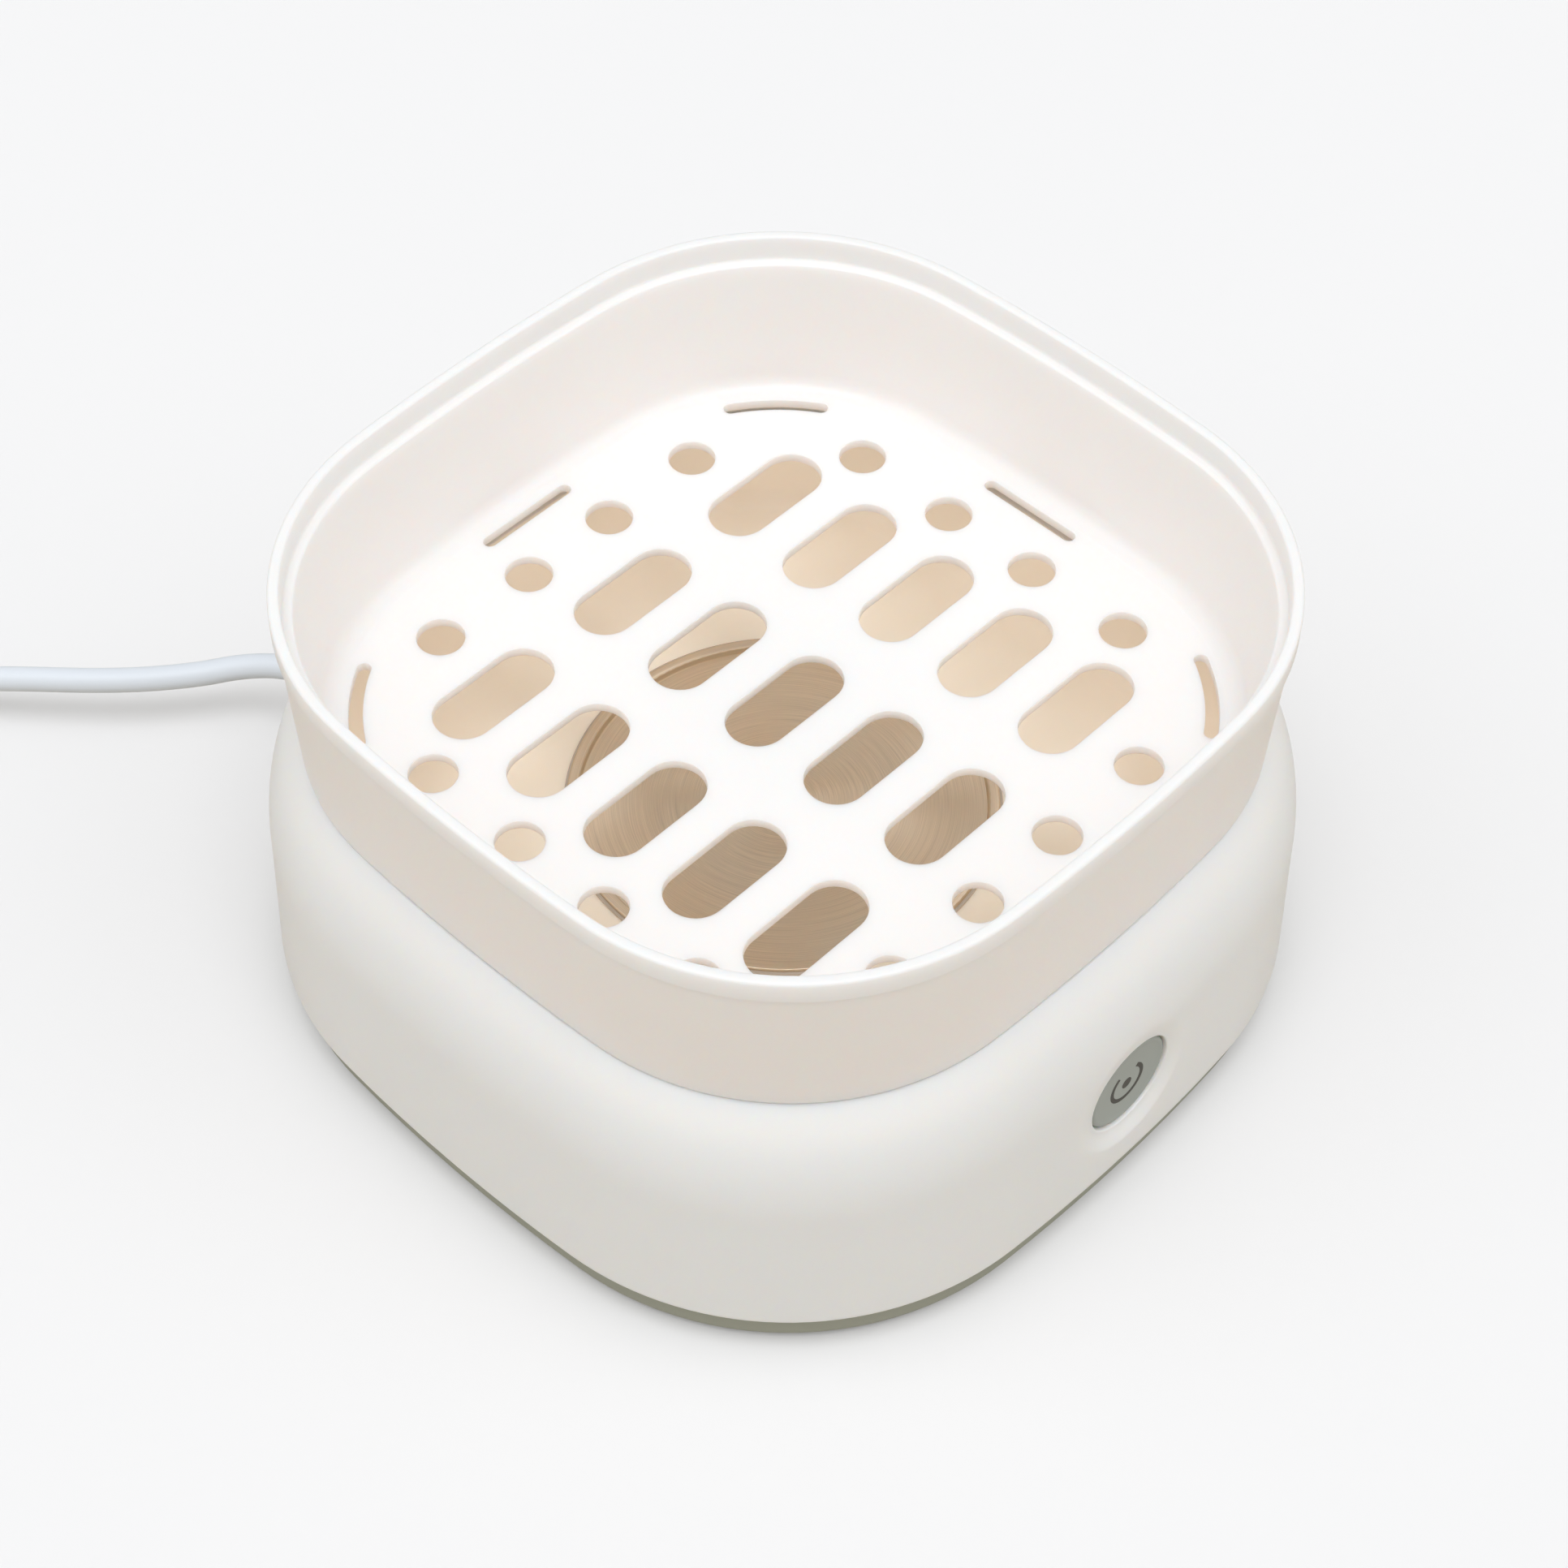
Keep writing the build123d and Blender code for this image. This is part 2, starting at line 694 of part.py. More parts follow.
def terminal_block():
    width, depth, height = terminal_size
    body = block(
        (exit_x - width / 2, exit_x + width / 2),
        (terminal_y - depth / 2, terminal_y + depth / 2),
        (cover_top, cover_top + height),
    )
    for way in (-1, 0, 1):
        top = (exit_x + way * width / 3, terminal_y, cover_top + height)
        body -= rod(terminal_hole_radius, top, (0, 0, -1), terminal_hole_depth)
    return body


def corner_radii(points):
    """The largest arc at each point of a route that its two runs allow."""
    radii = []
    for before, at, after in zip(points, points[1:], points[2:]):
        first = Vector(*at) - Vector(*before)
        second = Vector(*after) - Vector(*at)
        half_turn = math.radians(first.get_angle(second)) / 2
        radii.append(arc_share * min(first.length, second.length) / math.tan(half_turn))
    return radii


def tube(points, radius, radii):
    path = FilletPolyline(*points, radius=radii)
    return sweep(Plane(origin=path @ 0, z_dir=path % 0) * Circle(radius), path=path), path


def inner_leads():
    """Wires from the terminal block to the element's pins and the board, along the cover's floor."""
    front = terminal_y - terminal_size[1] / 2 - wire_gap
    wire_z = cover_top + wire_radius + wire_gap
    upper_z = wire_z + upper_wire_rise
    lower_z = wire_z + lower_wire_rise
    pin_z = spreader_low - element_tube + element_flat - pin_length - wire_gap
    left_pin = element_pin_at(1)
    right_pin = element_pin_at(-1)
    header_z = cover_top + part_above_floor + header_size[2] / 2
    header_y = board_back_y + header_size[1] + wire_gap
    header_ends = []
    for side in (-1, 1):
        x = header_x + side * header_wire_spread
        header_ends.append([
            (x, header_y + header_run + header_slope, wire_z),
            (x, header_y + header_run, header_z),
            (x, header_y, header_z),
        ])
    routes = [
        [
            (exit_x + wire_spacing, front, upper_z),
            (exit_x + wire_spacing, front - wire_first_run, upper_z),
            (*left_pin, upper_z),
            (*left_pin, pin_z),
        ],
        [
            (exit_x, front, lower_z),
            (exit_x, front - wire_first_run, lower_z),
            (exit_x, front - 2 * wire_first_run, wire_z),
            (exit_x, 0, wire_z),
            *header_ends[0],
        ],
        [
            (*right_pin, pin_z),
            (*right_pin, wire_z),
            (0, 0, wire_z),
            *header_ends[1],
        ],
    ]
    made = []
    for route in routes:
        limited = [min(radius, wire_bend) for radius in corner_radii(route)]
        made.append(tube(route, wire_radius, limited)[0])
    return Compound(children=made)


def cord_inner_end():
    start_y = terminal_y + terminal_size[1] / 2
    return rod(cord_diameter / 2, (exit_x, start_y, exit_z), (0, 1, 0), exit_y - start_y)


def cord_clamp():
    width, depth, height = clamp_bar_size
    body = block(
        (exit_x - width / 2, exit_x + width / 2),
        (clamp_bar_y - depth / 2, clamp_bar_y + depth / 2),
        (exit_z + saddle_gap, exit_z + saddle_gap + height),
    )
    body -= cord_bore()
    for side in (-1, 1):
        hole_at = (exit_x + side * clamp_bar_screw, clamp_bar_y, exit_z)
        body -= rod(small_screw_radius + hole_clearance, hole_at, (0, 0, 1), height + 1)
    return body


def cord_clamp_screws():
    made = []
    for side in (-1, 1):
        head_at = (exit_x + side * clamp_bar_screw, clamp_bar_y, exit_z + saddle_gap + clamp_bar_size[2])
        made.append(screw(head_at, (0, 0, -1), small_screw_radius, exit_z - cover_top))
    return Compound(children=made)


def strain_relief():
    """A tapered bush with a flange on each side of the pocket's back wall."""
    wall_low = pocket_back_y - pocket_wall
    body = rod(relief_root, (exit_x, wall_low, exit_z), (0, 1, 0), pocket_wall)
    for y in (wall_low - relief_flange, pocket_back_y):
        body += rod(relief_flange_radius, (exit_x, y, exit_z), (0, 1, 0), relief_flange)
    taper_start = pocket_back_y + relief_flange
    taper = Solid.make_cone(
        relief_root, relief_tip, exit_y - taper_start,
        Plane(origin=(exit_x, taper_start, exit_z), z_dir=(0, 1, 0)),
    )
    body += taper
    body -= cord_bore()
    return one_solid(body)


coil_start = (exit_x + coil_from_exit[0], exit_y + coil_from_exit[1])
coil_direction = Vector(1, 0, 0).rotate(Axis.Z, coil_heading)
coil_left = Vector(0, 1, 0).rotate(Axis.Z, coil_heading)
cord_floor_z = cord_diameter / 2 + coil_floor_gap


def coil_line():
    """Half turns that spiral in on the surface, climb at the inside and spiral out on top."""
    step = coil_pitch / 2
    reaches = [coil_inner + step * n for n in range(lower_half_turns, -1, -1)]
    reaches += [coil_inner + step * n for n in range(upper_half_turns + 1)]
    low_points = lower_half_turns + 1
    centre = Vector(*coil_start) - coil_left * reaches[0]
    points = []
    for number, reach in enumerate(reaches):
        layer_z = cord_floor_z if number < low_points else cord_floor_z + coil_pitch
        sign = 1 if number % 2 == 0 else -1
        points.append(centre + coil_left * (sign * reach) + Vector(0, 0, layer_z))
    edges = [Line(points[0] - coil_direction * cord_diameter, points[0])]
    for number, (start, end) in enumerate(zip(points, points[1:])):
        heading = coil_direction * (1 if number % 2 == 0 else -1)
        if number == lower_half_turns:
            rise = (end - start).Z
            side = math.sqrt(coil_inner**2 + rise**2 / 4)
            middle = (start + end) * 0.5 + heading * side
            edges.append(Edge.make_tangent_arc(start, heading, middle))
            edges.append(Edge.make_tangent_arc(middle, end - start, end))
        else:
            edges.append(Edge.make_tangent_arc(start, heading, end))
    # a last quarter turn, at the same rate, leads the end out on the coil's far side
    sign = 1 if len(points) % 2 == 1 else -1
    radius = reaches[-1] + step / 2
    quarter_end = points[-1] + (coil_direction - coil_left) * (sign * radius)
    edges.append(Edge.make_tangent_arc(points[-1], coil_direction * sign, quarter_end))
    last_heading = coil_left * -sign
    edges.append(Line(quarter_end, quarter_end + last_heading * cord_diameter))
    return Wire(edges), quarter_end + last_heading * cord_diameter, last_heading


def least_gap(line, diameter):
    """The least space between turns of a wound tube, measured on points along its line."""
    count = 500
    points = [line @ (n / count) for n in range(count + 1)]
    spacing = line.length / count
    apart = math.ceil(2.5 * diameter / spacing)
    gap = line.length
    for first in range(0, count + 1, 2):
        for second in range(first + apart, count + 1):
            gap = min(gap, (points[first] - points[second]).length - diameter)
    return gap


coil_path, coil_end, end_heading = coil_line()


def cord_coil():
    section = Plane(origin=coil_path @ 0, z_dir=coil_path % 0) * Circle(cord_diameter / 2)
    gap = least_gap(coil_path, cord_diameter)
    print("coil length", round(coil_path.length, 1), "least gap", round(gap, 3))
    return sweep(section, path=coil_path)


def power_cord():
    start = (exit_x, exit_y, exit_z)
    route = [(exit_x + x, exit_y + y, z) for x, y, z in cord_route]
    entry = Vector(*coil_start) - coil_direction * cord_diameter + Vector(0, 0, cord_floor_z)
    lead_in = entry - coil_direction * coil_lead_in
    points = [start] + route + [tuple(lead_in), tuple(entry)]
    radii = corner_radii(points)
    print("cord radii", [round(radius, 1) for radius in radii])
    body, path = tube(points, cord_diameter / 2, radii)
    ideal = math.pi * cord_diameter**2 / 4 * path.length
    print("cord length", round(path.length, 1), "volume share", round(body.volume / ideal, 4))
    return body


def plug_plane(z):
    """Axes of the plug: X runs on from the lead, Z up."""
    return Plane(origin=(coil_end.X, coil_end.Y, z), x_dir=end_heading, z_dir=(0, 0, 1))


def plug_body():
    shape = plug_plane(0) * Pos(plug_guard + plug_length / 2, 0) * RectangleRounded(
        plug_length, plug_width, plug_corner)
    body = extrude(shape, amount=plug_height)
    body = fillet(body.edges().group_by(Axis.Z)[-1], plug_top_round)
    body = fillet(body.edges().group_by(Axis.Z)[0], plug_low_round)
    guard = Solid.make_cone(
        plug_guard_tip, plug_guard_root, plug_guard + plug_guard_sunk,
        Plane(origin=coil_end, z_dir=end_heading),
    )
    return one_solid(body + guard)


def plug_pins():
    middle = plug_guard + plug_length / 2
    made = []
    for x, y, size in (
        (middle + pin_row, 0, earth_pin),
        (middle - pin_row, pin_spread, live_pin),
        (middle - pin_row, -pin_spread, live_pin),
    ):
        pin = extrude(plug_plane(plug_height) * Pos(x, y) * Rectangle(size[1], size[0]), amount=size[2])
        made.append(chamfer(pin.edges().group_by(Axis.Z)[-1], pin_chamfer))
    return Compound(children=made)


def corner_slot(turn, z):
    """A slot that runs parallel to the rim round a corner."""
    side_centre = tray_half - tray_bow
    reach = tray_bow - tray_corner
    centre = (side_centre + math.sqrt(2 * reach**2 - side_centre**2)) / 2
    radius = tray_corner - thin_slot_inset
    line = CenterArc((centre, centre), radius, 45 - corner_slot_half_angle, 2 * corner_slot_half_angle)
    return Pos(0, 0, z) * Rot(0, 0, turn) * SlotArc(line, thin_slot_width)


def tray_holes(z):
    """Every opening of the tray's floor, as flat shapes at height z."""
    shapes = []
    for column in range(slot_columns):
        for row in range(slot_rows):
            x = (column - (slot_columns - 1) / 2) * column_pitch
            y = (row - (slot_rows - 1) / 2) * row_pitch
            shapes.append(Pos(x, y, z) * SlotCenterToCenter(2 * slot_half_run, 2 * slot_half_width))
    side_slot = tray_half - thin_slot_inset
    for turn in (0, 90, 180, 270):
        for along in (-hole_far, -hole_near, hole_near, hole_far):
            shapes.append(Pos(0, 0, z) * Rot(0, 0, turn) * Pos(hole_distance, along) * Circle(hole_radius))
        slot = SlotCenterToCenter(2 * side_slot_half_run, thin_slot_width)
        shapes.append(Pos(0, 0, z) * Rot(0, 0, turn) * Pos(0, side_slot) * slot)
        shapes.append(corner_slot(turn, z))
    return shapes


def tray():
    wall_top_half = tray_half - tray_wall_step
    band_z = tray_top - rim_band
    body = lofted([(tray_wall_half, tray_edge_z), (wall_top_half, band_z)])
    body = fillet(outward_edges(body, tray_edge_z), wall_round)
    band = prism(tray_half, band_z, tray_top)
    band = fillet(outward_edges(band, tray_top), rim_round)
    band = fillet(outward_edges(band, band_z), band_round)
    body += band
    skirt_low = ledge_z + seat_gap
    body += prism(skirt_half, skirt_low, tray_edge_z + wall_round)
    rim_inner = tray_half - rim_width
    ledge = tray_top - rim_drop
    body -= prism(rim_inner, ledge, tray_top)
    ledge_inner = rim_inner - rim_ledge
    inside = lofted([(ledge_inner - tray_inner_lean, tray_floor_z), (ledge_inner, ledge)])
    inside = fillet(outward_edges(inside, tray_floor_z), floor_fillet)
    body -= inside
    body -= prism(skirt_half - skirt_wall, skirt_low, tray_floor_z - tray_floor)
    cutters = []
    for shape in tray_holes(tray_floor_z - 2 * tray_floor):
        cutters.append(extrude(shape, amount=3 * tray_floor, dir=(0, 0, 1)))
    body -= cutters
    level = body.faces().filter_by_position(Axis.Z, tray_floor_z - same_height, tray_floor_z + same_height)
    floor = level.sort_by(SortBy.AREA)[-1]
    edges = [edge for wire in floor.inner_wires() for edge in wire.edges()]
    body = fillet(edges, hole_edge)
    return one_solid(body)


def main():
    os.makedirs("parts", exist_ok=True)
    save(base_shell(), "base_shell")
    save(bottom_cover(), "bottom_cover")
    save(rubber_feet(), "rubber_feet")
    save(cover_screws(), "cover_screws")
    save(heating_plate(), "heating_plate")
    save(plate_seal(), "plate_seal")
    save(heat_spreader(), "heat_spreader")
    save(heating_element(), "heating_element")
    save(plate_clamp(), "plate_clamp")
    save(clamp_nuts(), "clamp_nuts")
    save(thermostat(), "thermostat")
    save(thermal_fuse(), "thermal_fuse")
    save(fuse_clip(), "fuse_clip")
    save(power_button(), "power_button")
    save(button_guide(), "button_guide")
    save(switch_plunger(), "switch_plunger")
    save(tact_switch(), "tact_switch")
    save(control_board(), "control_board")
    save(board_screws(), "board_screws")
    save(board_part(relay_x, relay_size), "relay")
    save(board_capacitor(), "board_capacitor")
    save(board_part(header_x, header_size), "board_header")
    save(terminal_block(), "terminal_block")
    save(inner_leads(), "inner_leads")
    save(cord_inner_end(), "cord_inner_end")
    save(cord_clamp(), "cord_clamp")
    save(cord_clamp_screws(), "cord_clamp_screws")
    save(strain_relief(), "strain_relief")
    save(power_cord(), "power_cord")
    save(cord_coil(), "cord_coil")
    save(plug_body(), "plug_body")
    save(plug_pins(), "plug_pins")
    save(tray(), "tray")


main()
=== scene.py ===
import bpy
import bmesh
import math
from mathutils import Matrix, Vector
from mathutils.kdtree import KDTree


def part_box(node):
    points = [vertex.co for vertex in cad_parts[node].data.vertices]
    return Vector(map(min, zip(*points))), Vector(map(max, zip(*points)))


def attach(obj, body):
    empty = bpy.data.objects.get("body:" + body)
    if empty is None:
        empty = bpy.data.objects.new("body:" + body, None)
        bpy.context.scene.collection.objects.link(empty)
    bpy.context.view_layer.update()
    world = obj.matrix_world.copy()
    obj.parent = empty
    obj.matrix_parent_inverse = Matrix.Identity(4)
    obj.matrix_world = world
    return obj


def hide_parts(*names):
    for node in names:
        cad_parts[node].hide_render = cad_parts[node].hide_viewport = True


# Electric bottle sterilizer: a white base with a water bowl and a perforated tray that lifts out.
# Sizes and places are in millimetres and become metres where a mesh or a curve is made.
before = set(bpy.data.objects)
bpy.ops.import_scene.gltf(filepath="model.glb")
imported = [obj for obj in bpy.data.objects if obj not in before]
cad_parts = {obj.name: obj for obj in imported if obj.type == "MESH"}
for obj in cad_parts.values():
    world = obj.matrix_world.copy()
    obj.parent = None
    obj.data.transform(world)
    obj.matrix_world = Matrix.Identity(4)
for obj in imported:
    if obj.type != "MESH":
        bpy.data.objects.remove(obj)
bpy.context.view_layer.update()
MM = 0.001

# The photograph's view
photo_side = 1932
focal_pixels = 4215.7
camera_at = (-343.2, -320.2, 598.9)
camera_looks_at = (-5.35, -5.12, 55.21)
camera_roll = 0.884        # degrees
sensor_width = 36.0


def metres(*place):
    return Vector(place) * MM


def box_mm(node):
    """Lowest and highest corner of a CAD node, in millimetres."""
    low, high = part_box(node)
    return Vector(low) / MM, Vector(high) / MM


def add_camera():
    data = bpy.data.cameras.new("photo_view")
    data.sensor_width = sensor_width
    data.lens = focal_pixels / photo_side * sensor_width
    data.clip_start = 0.01
    data.clip_end = 20.0
    camera = bpy.data.objects.new("photo_view", data)
    bpy.context.scene.collection.objects.link(camera)
    at = metres(*camera_at)
    back = (at - metres(*camera_looks_at)).normalized()
    right = Vector((0, 0, 1)).cross(back).normalized()
    up = back.cross(right)
    roll = math.radians(camera_roll)
    rolled_right = math.cos(roll) * right + math.sin(roll) * up
    rolled_up = math.cos(roll) * up - math.sin(roll) * right
    turn = Matrix((rolled_right, rolled_up, back)).transposed()
    camera.matrix_world = Matrix.Translation(at) @ turn.to_4x4()
    bpy.context.scene.camera = camera


add_camera()


# Power lead: the same route and coil as in the part's source
cord_diameter = 5.8
cord_exit = (-32.5, 103.2, 17.8)
# x and y from the exit, z from the surface that the object stands on
cord_route = [
    (0.0, 10.5, 17.8),
    (-2.9, 20.5, 16.9),
    (-8.8, 29.1, 14.9),
    (-17.6, 35.9, 13.3),
    (-31.5, 47.8, 13.1),
    (-49.0, 68.1, 12.5),
    (-63.0, 85.7, 9.4),
    (-74.9, 101.4, 4.4),
]
coil_from_exit = (-95.5, 129.4)
coil_heading = 125.0       # degrees from +X, the way the lead runs into the coil
coil_lead_in = 13.0        # straight run before the coil
coil_inner = 26.2
coil_pitch = 7.3
coil_floor_gap = 0.15
lower_half_turns = 4
upper_half_turns = 3
points_per_half_turn = 10


def from_exit(x, y, z):
    return Vector((cord_exit[0] + x, cord_exit[1] + y, z))


def coil_points():
    """Points of half turns that spiral in on the surface, climb at the inside and spiral out on top."""
    ahead = Vector((math.cos(math.radians(coil_heading)), math.sin(math.radians(coil_heading)), 0))
    left = Vector((-ahead.y, ahead.x, 0))
    floor_z = cord_diameter / 2 + coil_floor_gap
    step = coil_pitch / 2
    reaches = [coil_inner + step * turn for turn in range(lower_half_turns, -1, -1)]
    reaches += [coil_inner + step * turn for turn in range(upper_half_turns + 1)]
    start_at = from_exit(*coil_from_exit, floor_z)
    centre = start_at - left * reaches[0]
    entry = start_at - ahead * cord_diameter
    points = [entry - ahead * coil_lead_in, entry]
    # a quadratic spline runs inside its points, so they stand this much outside the turns
    spread = 1 / math.cos(math.pi / points_per_half_turn / 2)
    side = 1
    for number, (start, end) in enumerate(zip(reaches, reaches[1:])):
        radius = (start + end) / 2
        middle = centre + left * side * (start - radius)
        climbing = number == lower_half_turns
        lift = coil_pitch if number > lower_half_turns else 0
        for place in range(points_per_half_turn):
            share = (place + 0.5) / points_per_half_turn
            angle = math.pi * share
            along = math.sin(angle) * side
            across = math.cos(angle) * side
            rise = coil_pitch * (1 - math.cos(angle)) / 2 if climbing else lift
            points.append(middle + (ahead * along + left * across) * radius * spread + Vector((0, 0, rise)))
        side = -side
    # the last quarter turn leads the end out of the coil
    radius = reaches[-1] + step / 2
    middle = centre + left * side * (reaches[-1] - radius)
    for place in range(points_per_half_turn // 2):
        angle = math.pi * (place + 0.5) / points_per_half_turn
        turned = ahead * math.sin(angle) * side + left * math.cos(angle) * side
        points.append(middle + turned * radius * spread + Vector((0, 0, coil_pitch)))
    out = ahead * side * radius
    quarter_end = middle + out + Vector((0, 0, coil_pitch))
    points.append(quarter_end - left * side * cord_diameter)
    return points


def add_cord():
    points = [Vector(cord_exit)] + [from_exit(*place) for place in cord_route] + coil_points()
    data = bpy.data.curves.new("power_lead", "CURVE")
    data.dimensions = "3D"
    data.resolution_u = 8
    data.bevel_depth = cord_diameter / 2 * MM
    data.bevel_resolution = 8
    data.use_fill_caps = True
    spline = data.splines.new("NURBS")
    spline.points.add(len(points) - 1)
    for target, place in zip(spline.points, points):
        target.co = (*(place * MM), 1.0)
    spline.order_u = 3
    spline.use_endpoint_u = True
    cord = bpy.data.objects.new("power_lead", data)
    bpy.context.scene.collection.objects.link(cord)
    return cord


cord = add_cord()


# Materials
def node_adder(tree):
    """A function that adds a node to the tree and sets or links its inputs, by name or as i0, i1, i2."""
    def add(kind, settings=None, **inputs):
        node = tree.nodes.new(kind)
        for key, value in (settings or {}).items():
            setattr(node, key, value)
        for key, value in inputs.items():
            numbered = key[0] == "i" and key[1:].isdigit()
            socket = node.inputs[int(key[1:]) if numbered else key.replace("_", " ")]
            for source in value if isinstance(value, list) else [value]:
                if isinstance(source, bpy.types.NodeSocket):
                    tree.links.new(source, socket)
                else:
                    socket.default_value = source
        return node

    return add


def new_material(name):
    material = bpy.data.materials.new(name)
    material.use_nodes = True
    tree = material.node_tree
    return material, tree.nodes["Principled BSDF"], node_adder(tree), tree.links


def tone_mix(add, factor, first, second):
    """Mixes two colours, each a tuple or a socket, by a factor socket."""
    pair = [tone if isinstance(tone, bpy.types.NodeSocket) else (*tone, 1) for tone in (first, second)]
    return add("ShaderNodeMix", {"data_type": "RGBA"}, i0=factor, i6=pair[0], i7=pair[1]).outputs[2]


def vary_gloss(add, links, shader, factor, least, greatest):
    gloss = add("ShaderNodeMapRange", Value=factor, To_Min=least, To_Max=greatest)
    links.new(gloss.outputs["Result"], shader.inputs["Roughness"])


def roughen(add, links, shader, height, strength, depth):
    bump = add("ShaderNodeBump", Height=height, Strength=strength, Distance=depth * MM)
    links.new(bump.outputs["Normal"], shader.inputs["Normal"])


def plastic(name, colour, darker, roughness, grain=900.0, grain_depth=0.004, mottle=35.0, glow=None,
            inside=None):
    """Moulded plastic: slight drift of tone and gloss, and a fine grain. glow is (weight, radii, scale).

    inside is a painted warm tone, also the colour of a painted glow (emission), on the faces that the
    mesh's own attribute of that name marks; both stand for warm light and reflection that reach them
    through the tray.
    """
    material, shader, add, links = new_material(name)
    place = add("ShaderNodeTexCoord").outputs["Object"]
    drift = add("ShaderNodeTexNoise", Vector=place, Scale=mottle, Detail=3.0, Roughness=0.5)
    tone = tone_mix(add, drift.outputs["Fac"], darker, colour)
    # the marked faces get a painted warm tone and a painted glow, for light that reaches the bowl through
    # the tray
    if inside:
        painted_glow_mask = add("ShaderNodeAttribute", {"attribute_name": "inside"})
        lit = add("ShaderNodeMath", {"operation": "MULTIPLY"}, i0=painted_glow_mask.outputs["Fac"], i1=inside_light)
        shader.inputs["Emission Color"].default_value = (*inside, 1)
        links.new(lit.outputs[0], shader.inputs["Emission Strength"])
        tone = tone_mix(add, painted_glow_mask.outputs["Fac"], tone, inside)
    links.new(tone, shader.inputs["Base Color"])
    vary_gloss(add, links, shader, drift.outputs["Fac"], roughness * 0.9, roughness * 1.1)
    fine = add("ShaderNodeTexNoise", Vector=place, Scale=grain, Detail=2.0, Roughness=0.6)
    roughen(add, links, shader, fine.outputs["Fac"], 0.25, grain_depth)
    if glow:
        weight, radii, scale = glow
        shader.inputs["Subsurface Weight"].default_value = weight
        shader.inputs["Subsurface Radius"].default_value = radii
        shader.inputs["Subsurface Scale"].default_value = scale * MM
    return material


def metal(name, colour, darker, roughness, streak=(400.0, 400.0, 30.0), depth=0.01):
    """Metal with fine drawn streaks; streak gives their density along each axis."""
    material, shader, add, links = new_material(name)
    place = add("ShaderNodeTexCoord").outputs["Object"]
    stretched = add("ShaderNodeMapping", Vector=place, Scale=streak)
    lines = add("ShaderNodeTexNoise", Vector=stretched.outputs["Vector"], Scale=4.0, Detail=4.0)
    links.new(tone_mix(add, lines.outputs["Fac"], darker, colour), shader.inputs["Base Color"])
    vary_gloss(add, links, shader, lines.outputs["Fac"], roughness * 0.8, roughness * 1.25)
    roughen(add, links, shader, lines.outputs["Fac"], 0.3, depth)
    shader.inputs["Metallic"].default_value = 1.0
    return material


ring_density = 5200.0      # of the brushed lines, across them
ring_wander = 0.00025      # how much the lines vary on their way round
stain_density = 28.0
plate_gloss = (0.34, 0.5)  # least and greatest roughness


def turned_steel(name):
    """Stainless sheet brushed in circles about the plate's middle, with a warm tint that is a painted
    reflection.
    """
    material, shader, add, links = new_material(name)
    place = add("ShaderNodeTexCoord").outputs["Object"]

    def vector_math(operation, **inputs):
        return add("ShaderNodeVectorMath", {"operation": operation}, **inputs)

    flat = vector_math("MULTIPLY", i0=place, i1=(1, 1, 0)).outputs[0]
    radius = vector_math("LENGTH", i0=flat).outputs["Value"]
    bearing = vector_math("NORMALIZE", i0=flat).outputs[0]
    rings = add("ShaderNodeCombineXYZ", X=radius).outputs[0]
    joined = vector_math("MULTIPLY_ADD", i0=bearing, i1=(0, ring_wander, 0), i2=rings).outputs[0]
    lines = add("ShaderNodeTexNoise", Vector=joined, Scale=ring_density, Detail=3.0, Roughness=0.7)
    stain = add("ShaderNodeTexNoise", Vector=place, Scale=stain_density, Detail=3.0)
    # the warm tint that both tones carry is a painted reflection; the stain noise varies it at random
    base = tone_mix(add, stain.outputs["Fac"], plate_dark, plate_pale)
    greyed = add("ShaderNodeMapRange", Value=lines.outputs["Fac"], From_Min=0.25, From_Max=0.75,
                 To_Min=0.75, To_Max=1.1)
    scaled = vector_math("SCALE", i0=base, Scale=greyed.outputs["Result"])
    links.new(scaled.outputs[0], shader.inputs["Base Color"])
    vary_gloss(add, links, shader, lines.outputs["Fac"], *plate_gloss)
    roughen(add, links, shader, lines.outputs["Fac"], 0.2, 0.01)
    shader.inputs["Metallic"].default_value = 1.0
    shader.inputs["Anisotropic"].default_value = 0.7
    tangent = add("ShaderNodeTangent", {"direction_type": "RADIAL", "axis": "Z"})
    links.new(tangent.outputs[0], shader.inputs["Tangent"])
    return material


inside_light = 0.18        # stands for the light that the thin tray lets through into the bowl
# the plate's warm bronze tint is a painted reflection of the warm bowl and tray around it
plate_pale = (0.80, 0.69, 0.55)
plate_dark = (0.74, 0.635, 0.50)
# shell_white's inside tone is a painted warm tone and painted glow for the bowl's faces, standing for light
# and warm reflection that come through the tray
shell_white = plastic("shell_white", (0.95, 0.93, 0.905), (0.942, 0.92, 0.893), 0.38,
                      glow=(0.6, (1.0, 0.75, 0.55), 4.0), inside=(0.96, 0.83, 0.70))
tray_white = plastic("tray_white", (0.925, 0.901, 0.884), (0.918, 0.892, 0.873), 0.34,
                     glow=(1.0, (0.9, 0.7, 0.6), 4.5))
band_grey = plastic("band_grey_green", (0.38, 0.395, 0.33), (0.35, 0.365, 0.30), 0.5)
button_grey = plastic("button_grey", (0.385, 0.42, 0.395), (0.355, 0.39, 0.365), 0.45)
symbol_dark = plastic("symbol_dark", (0.055, 0.055, 0.048), (0.045, 0.045, 0.04), 0.5)
inner_dark = plastic("inner_dark_plastic", (0.04, 0.04, 0.045), (0.03, 0.03, 0.033), 0.5)
inner_light = plastic("inner_light_plastic", (0.75, 0.74, 0.70), (0.70, 0.69, 0.65), 0.5)
foot_rubber = plastic("foot_rubber", (0.10, 0.10, 0.10), (0.08, 0.08, 0.08), 0.75, grain_depth=0.02)
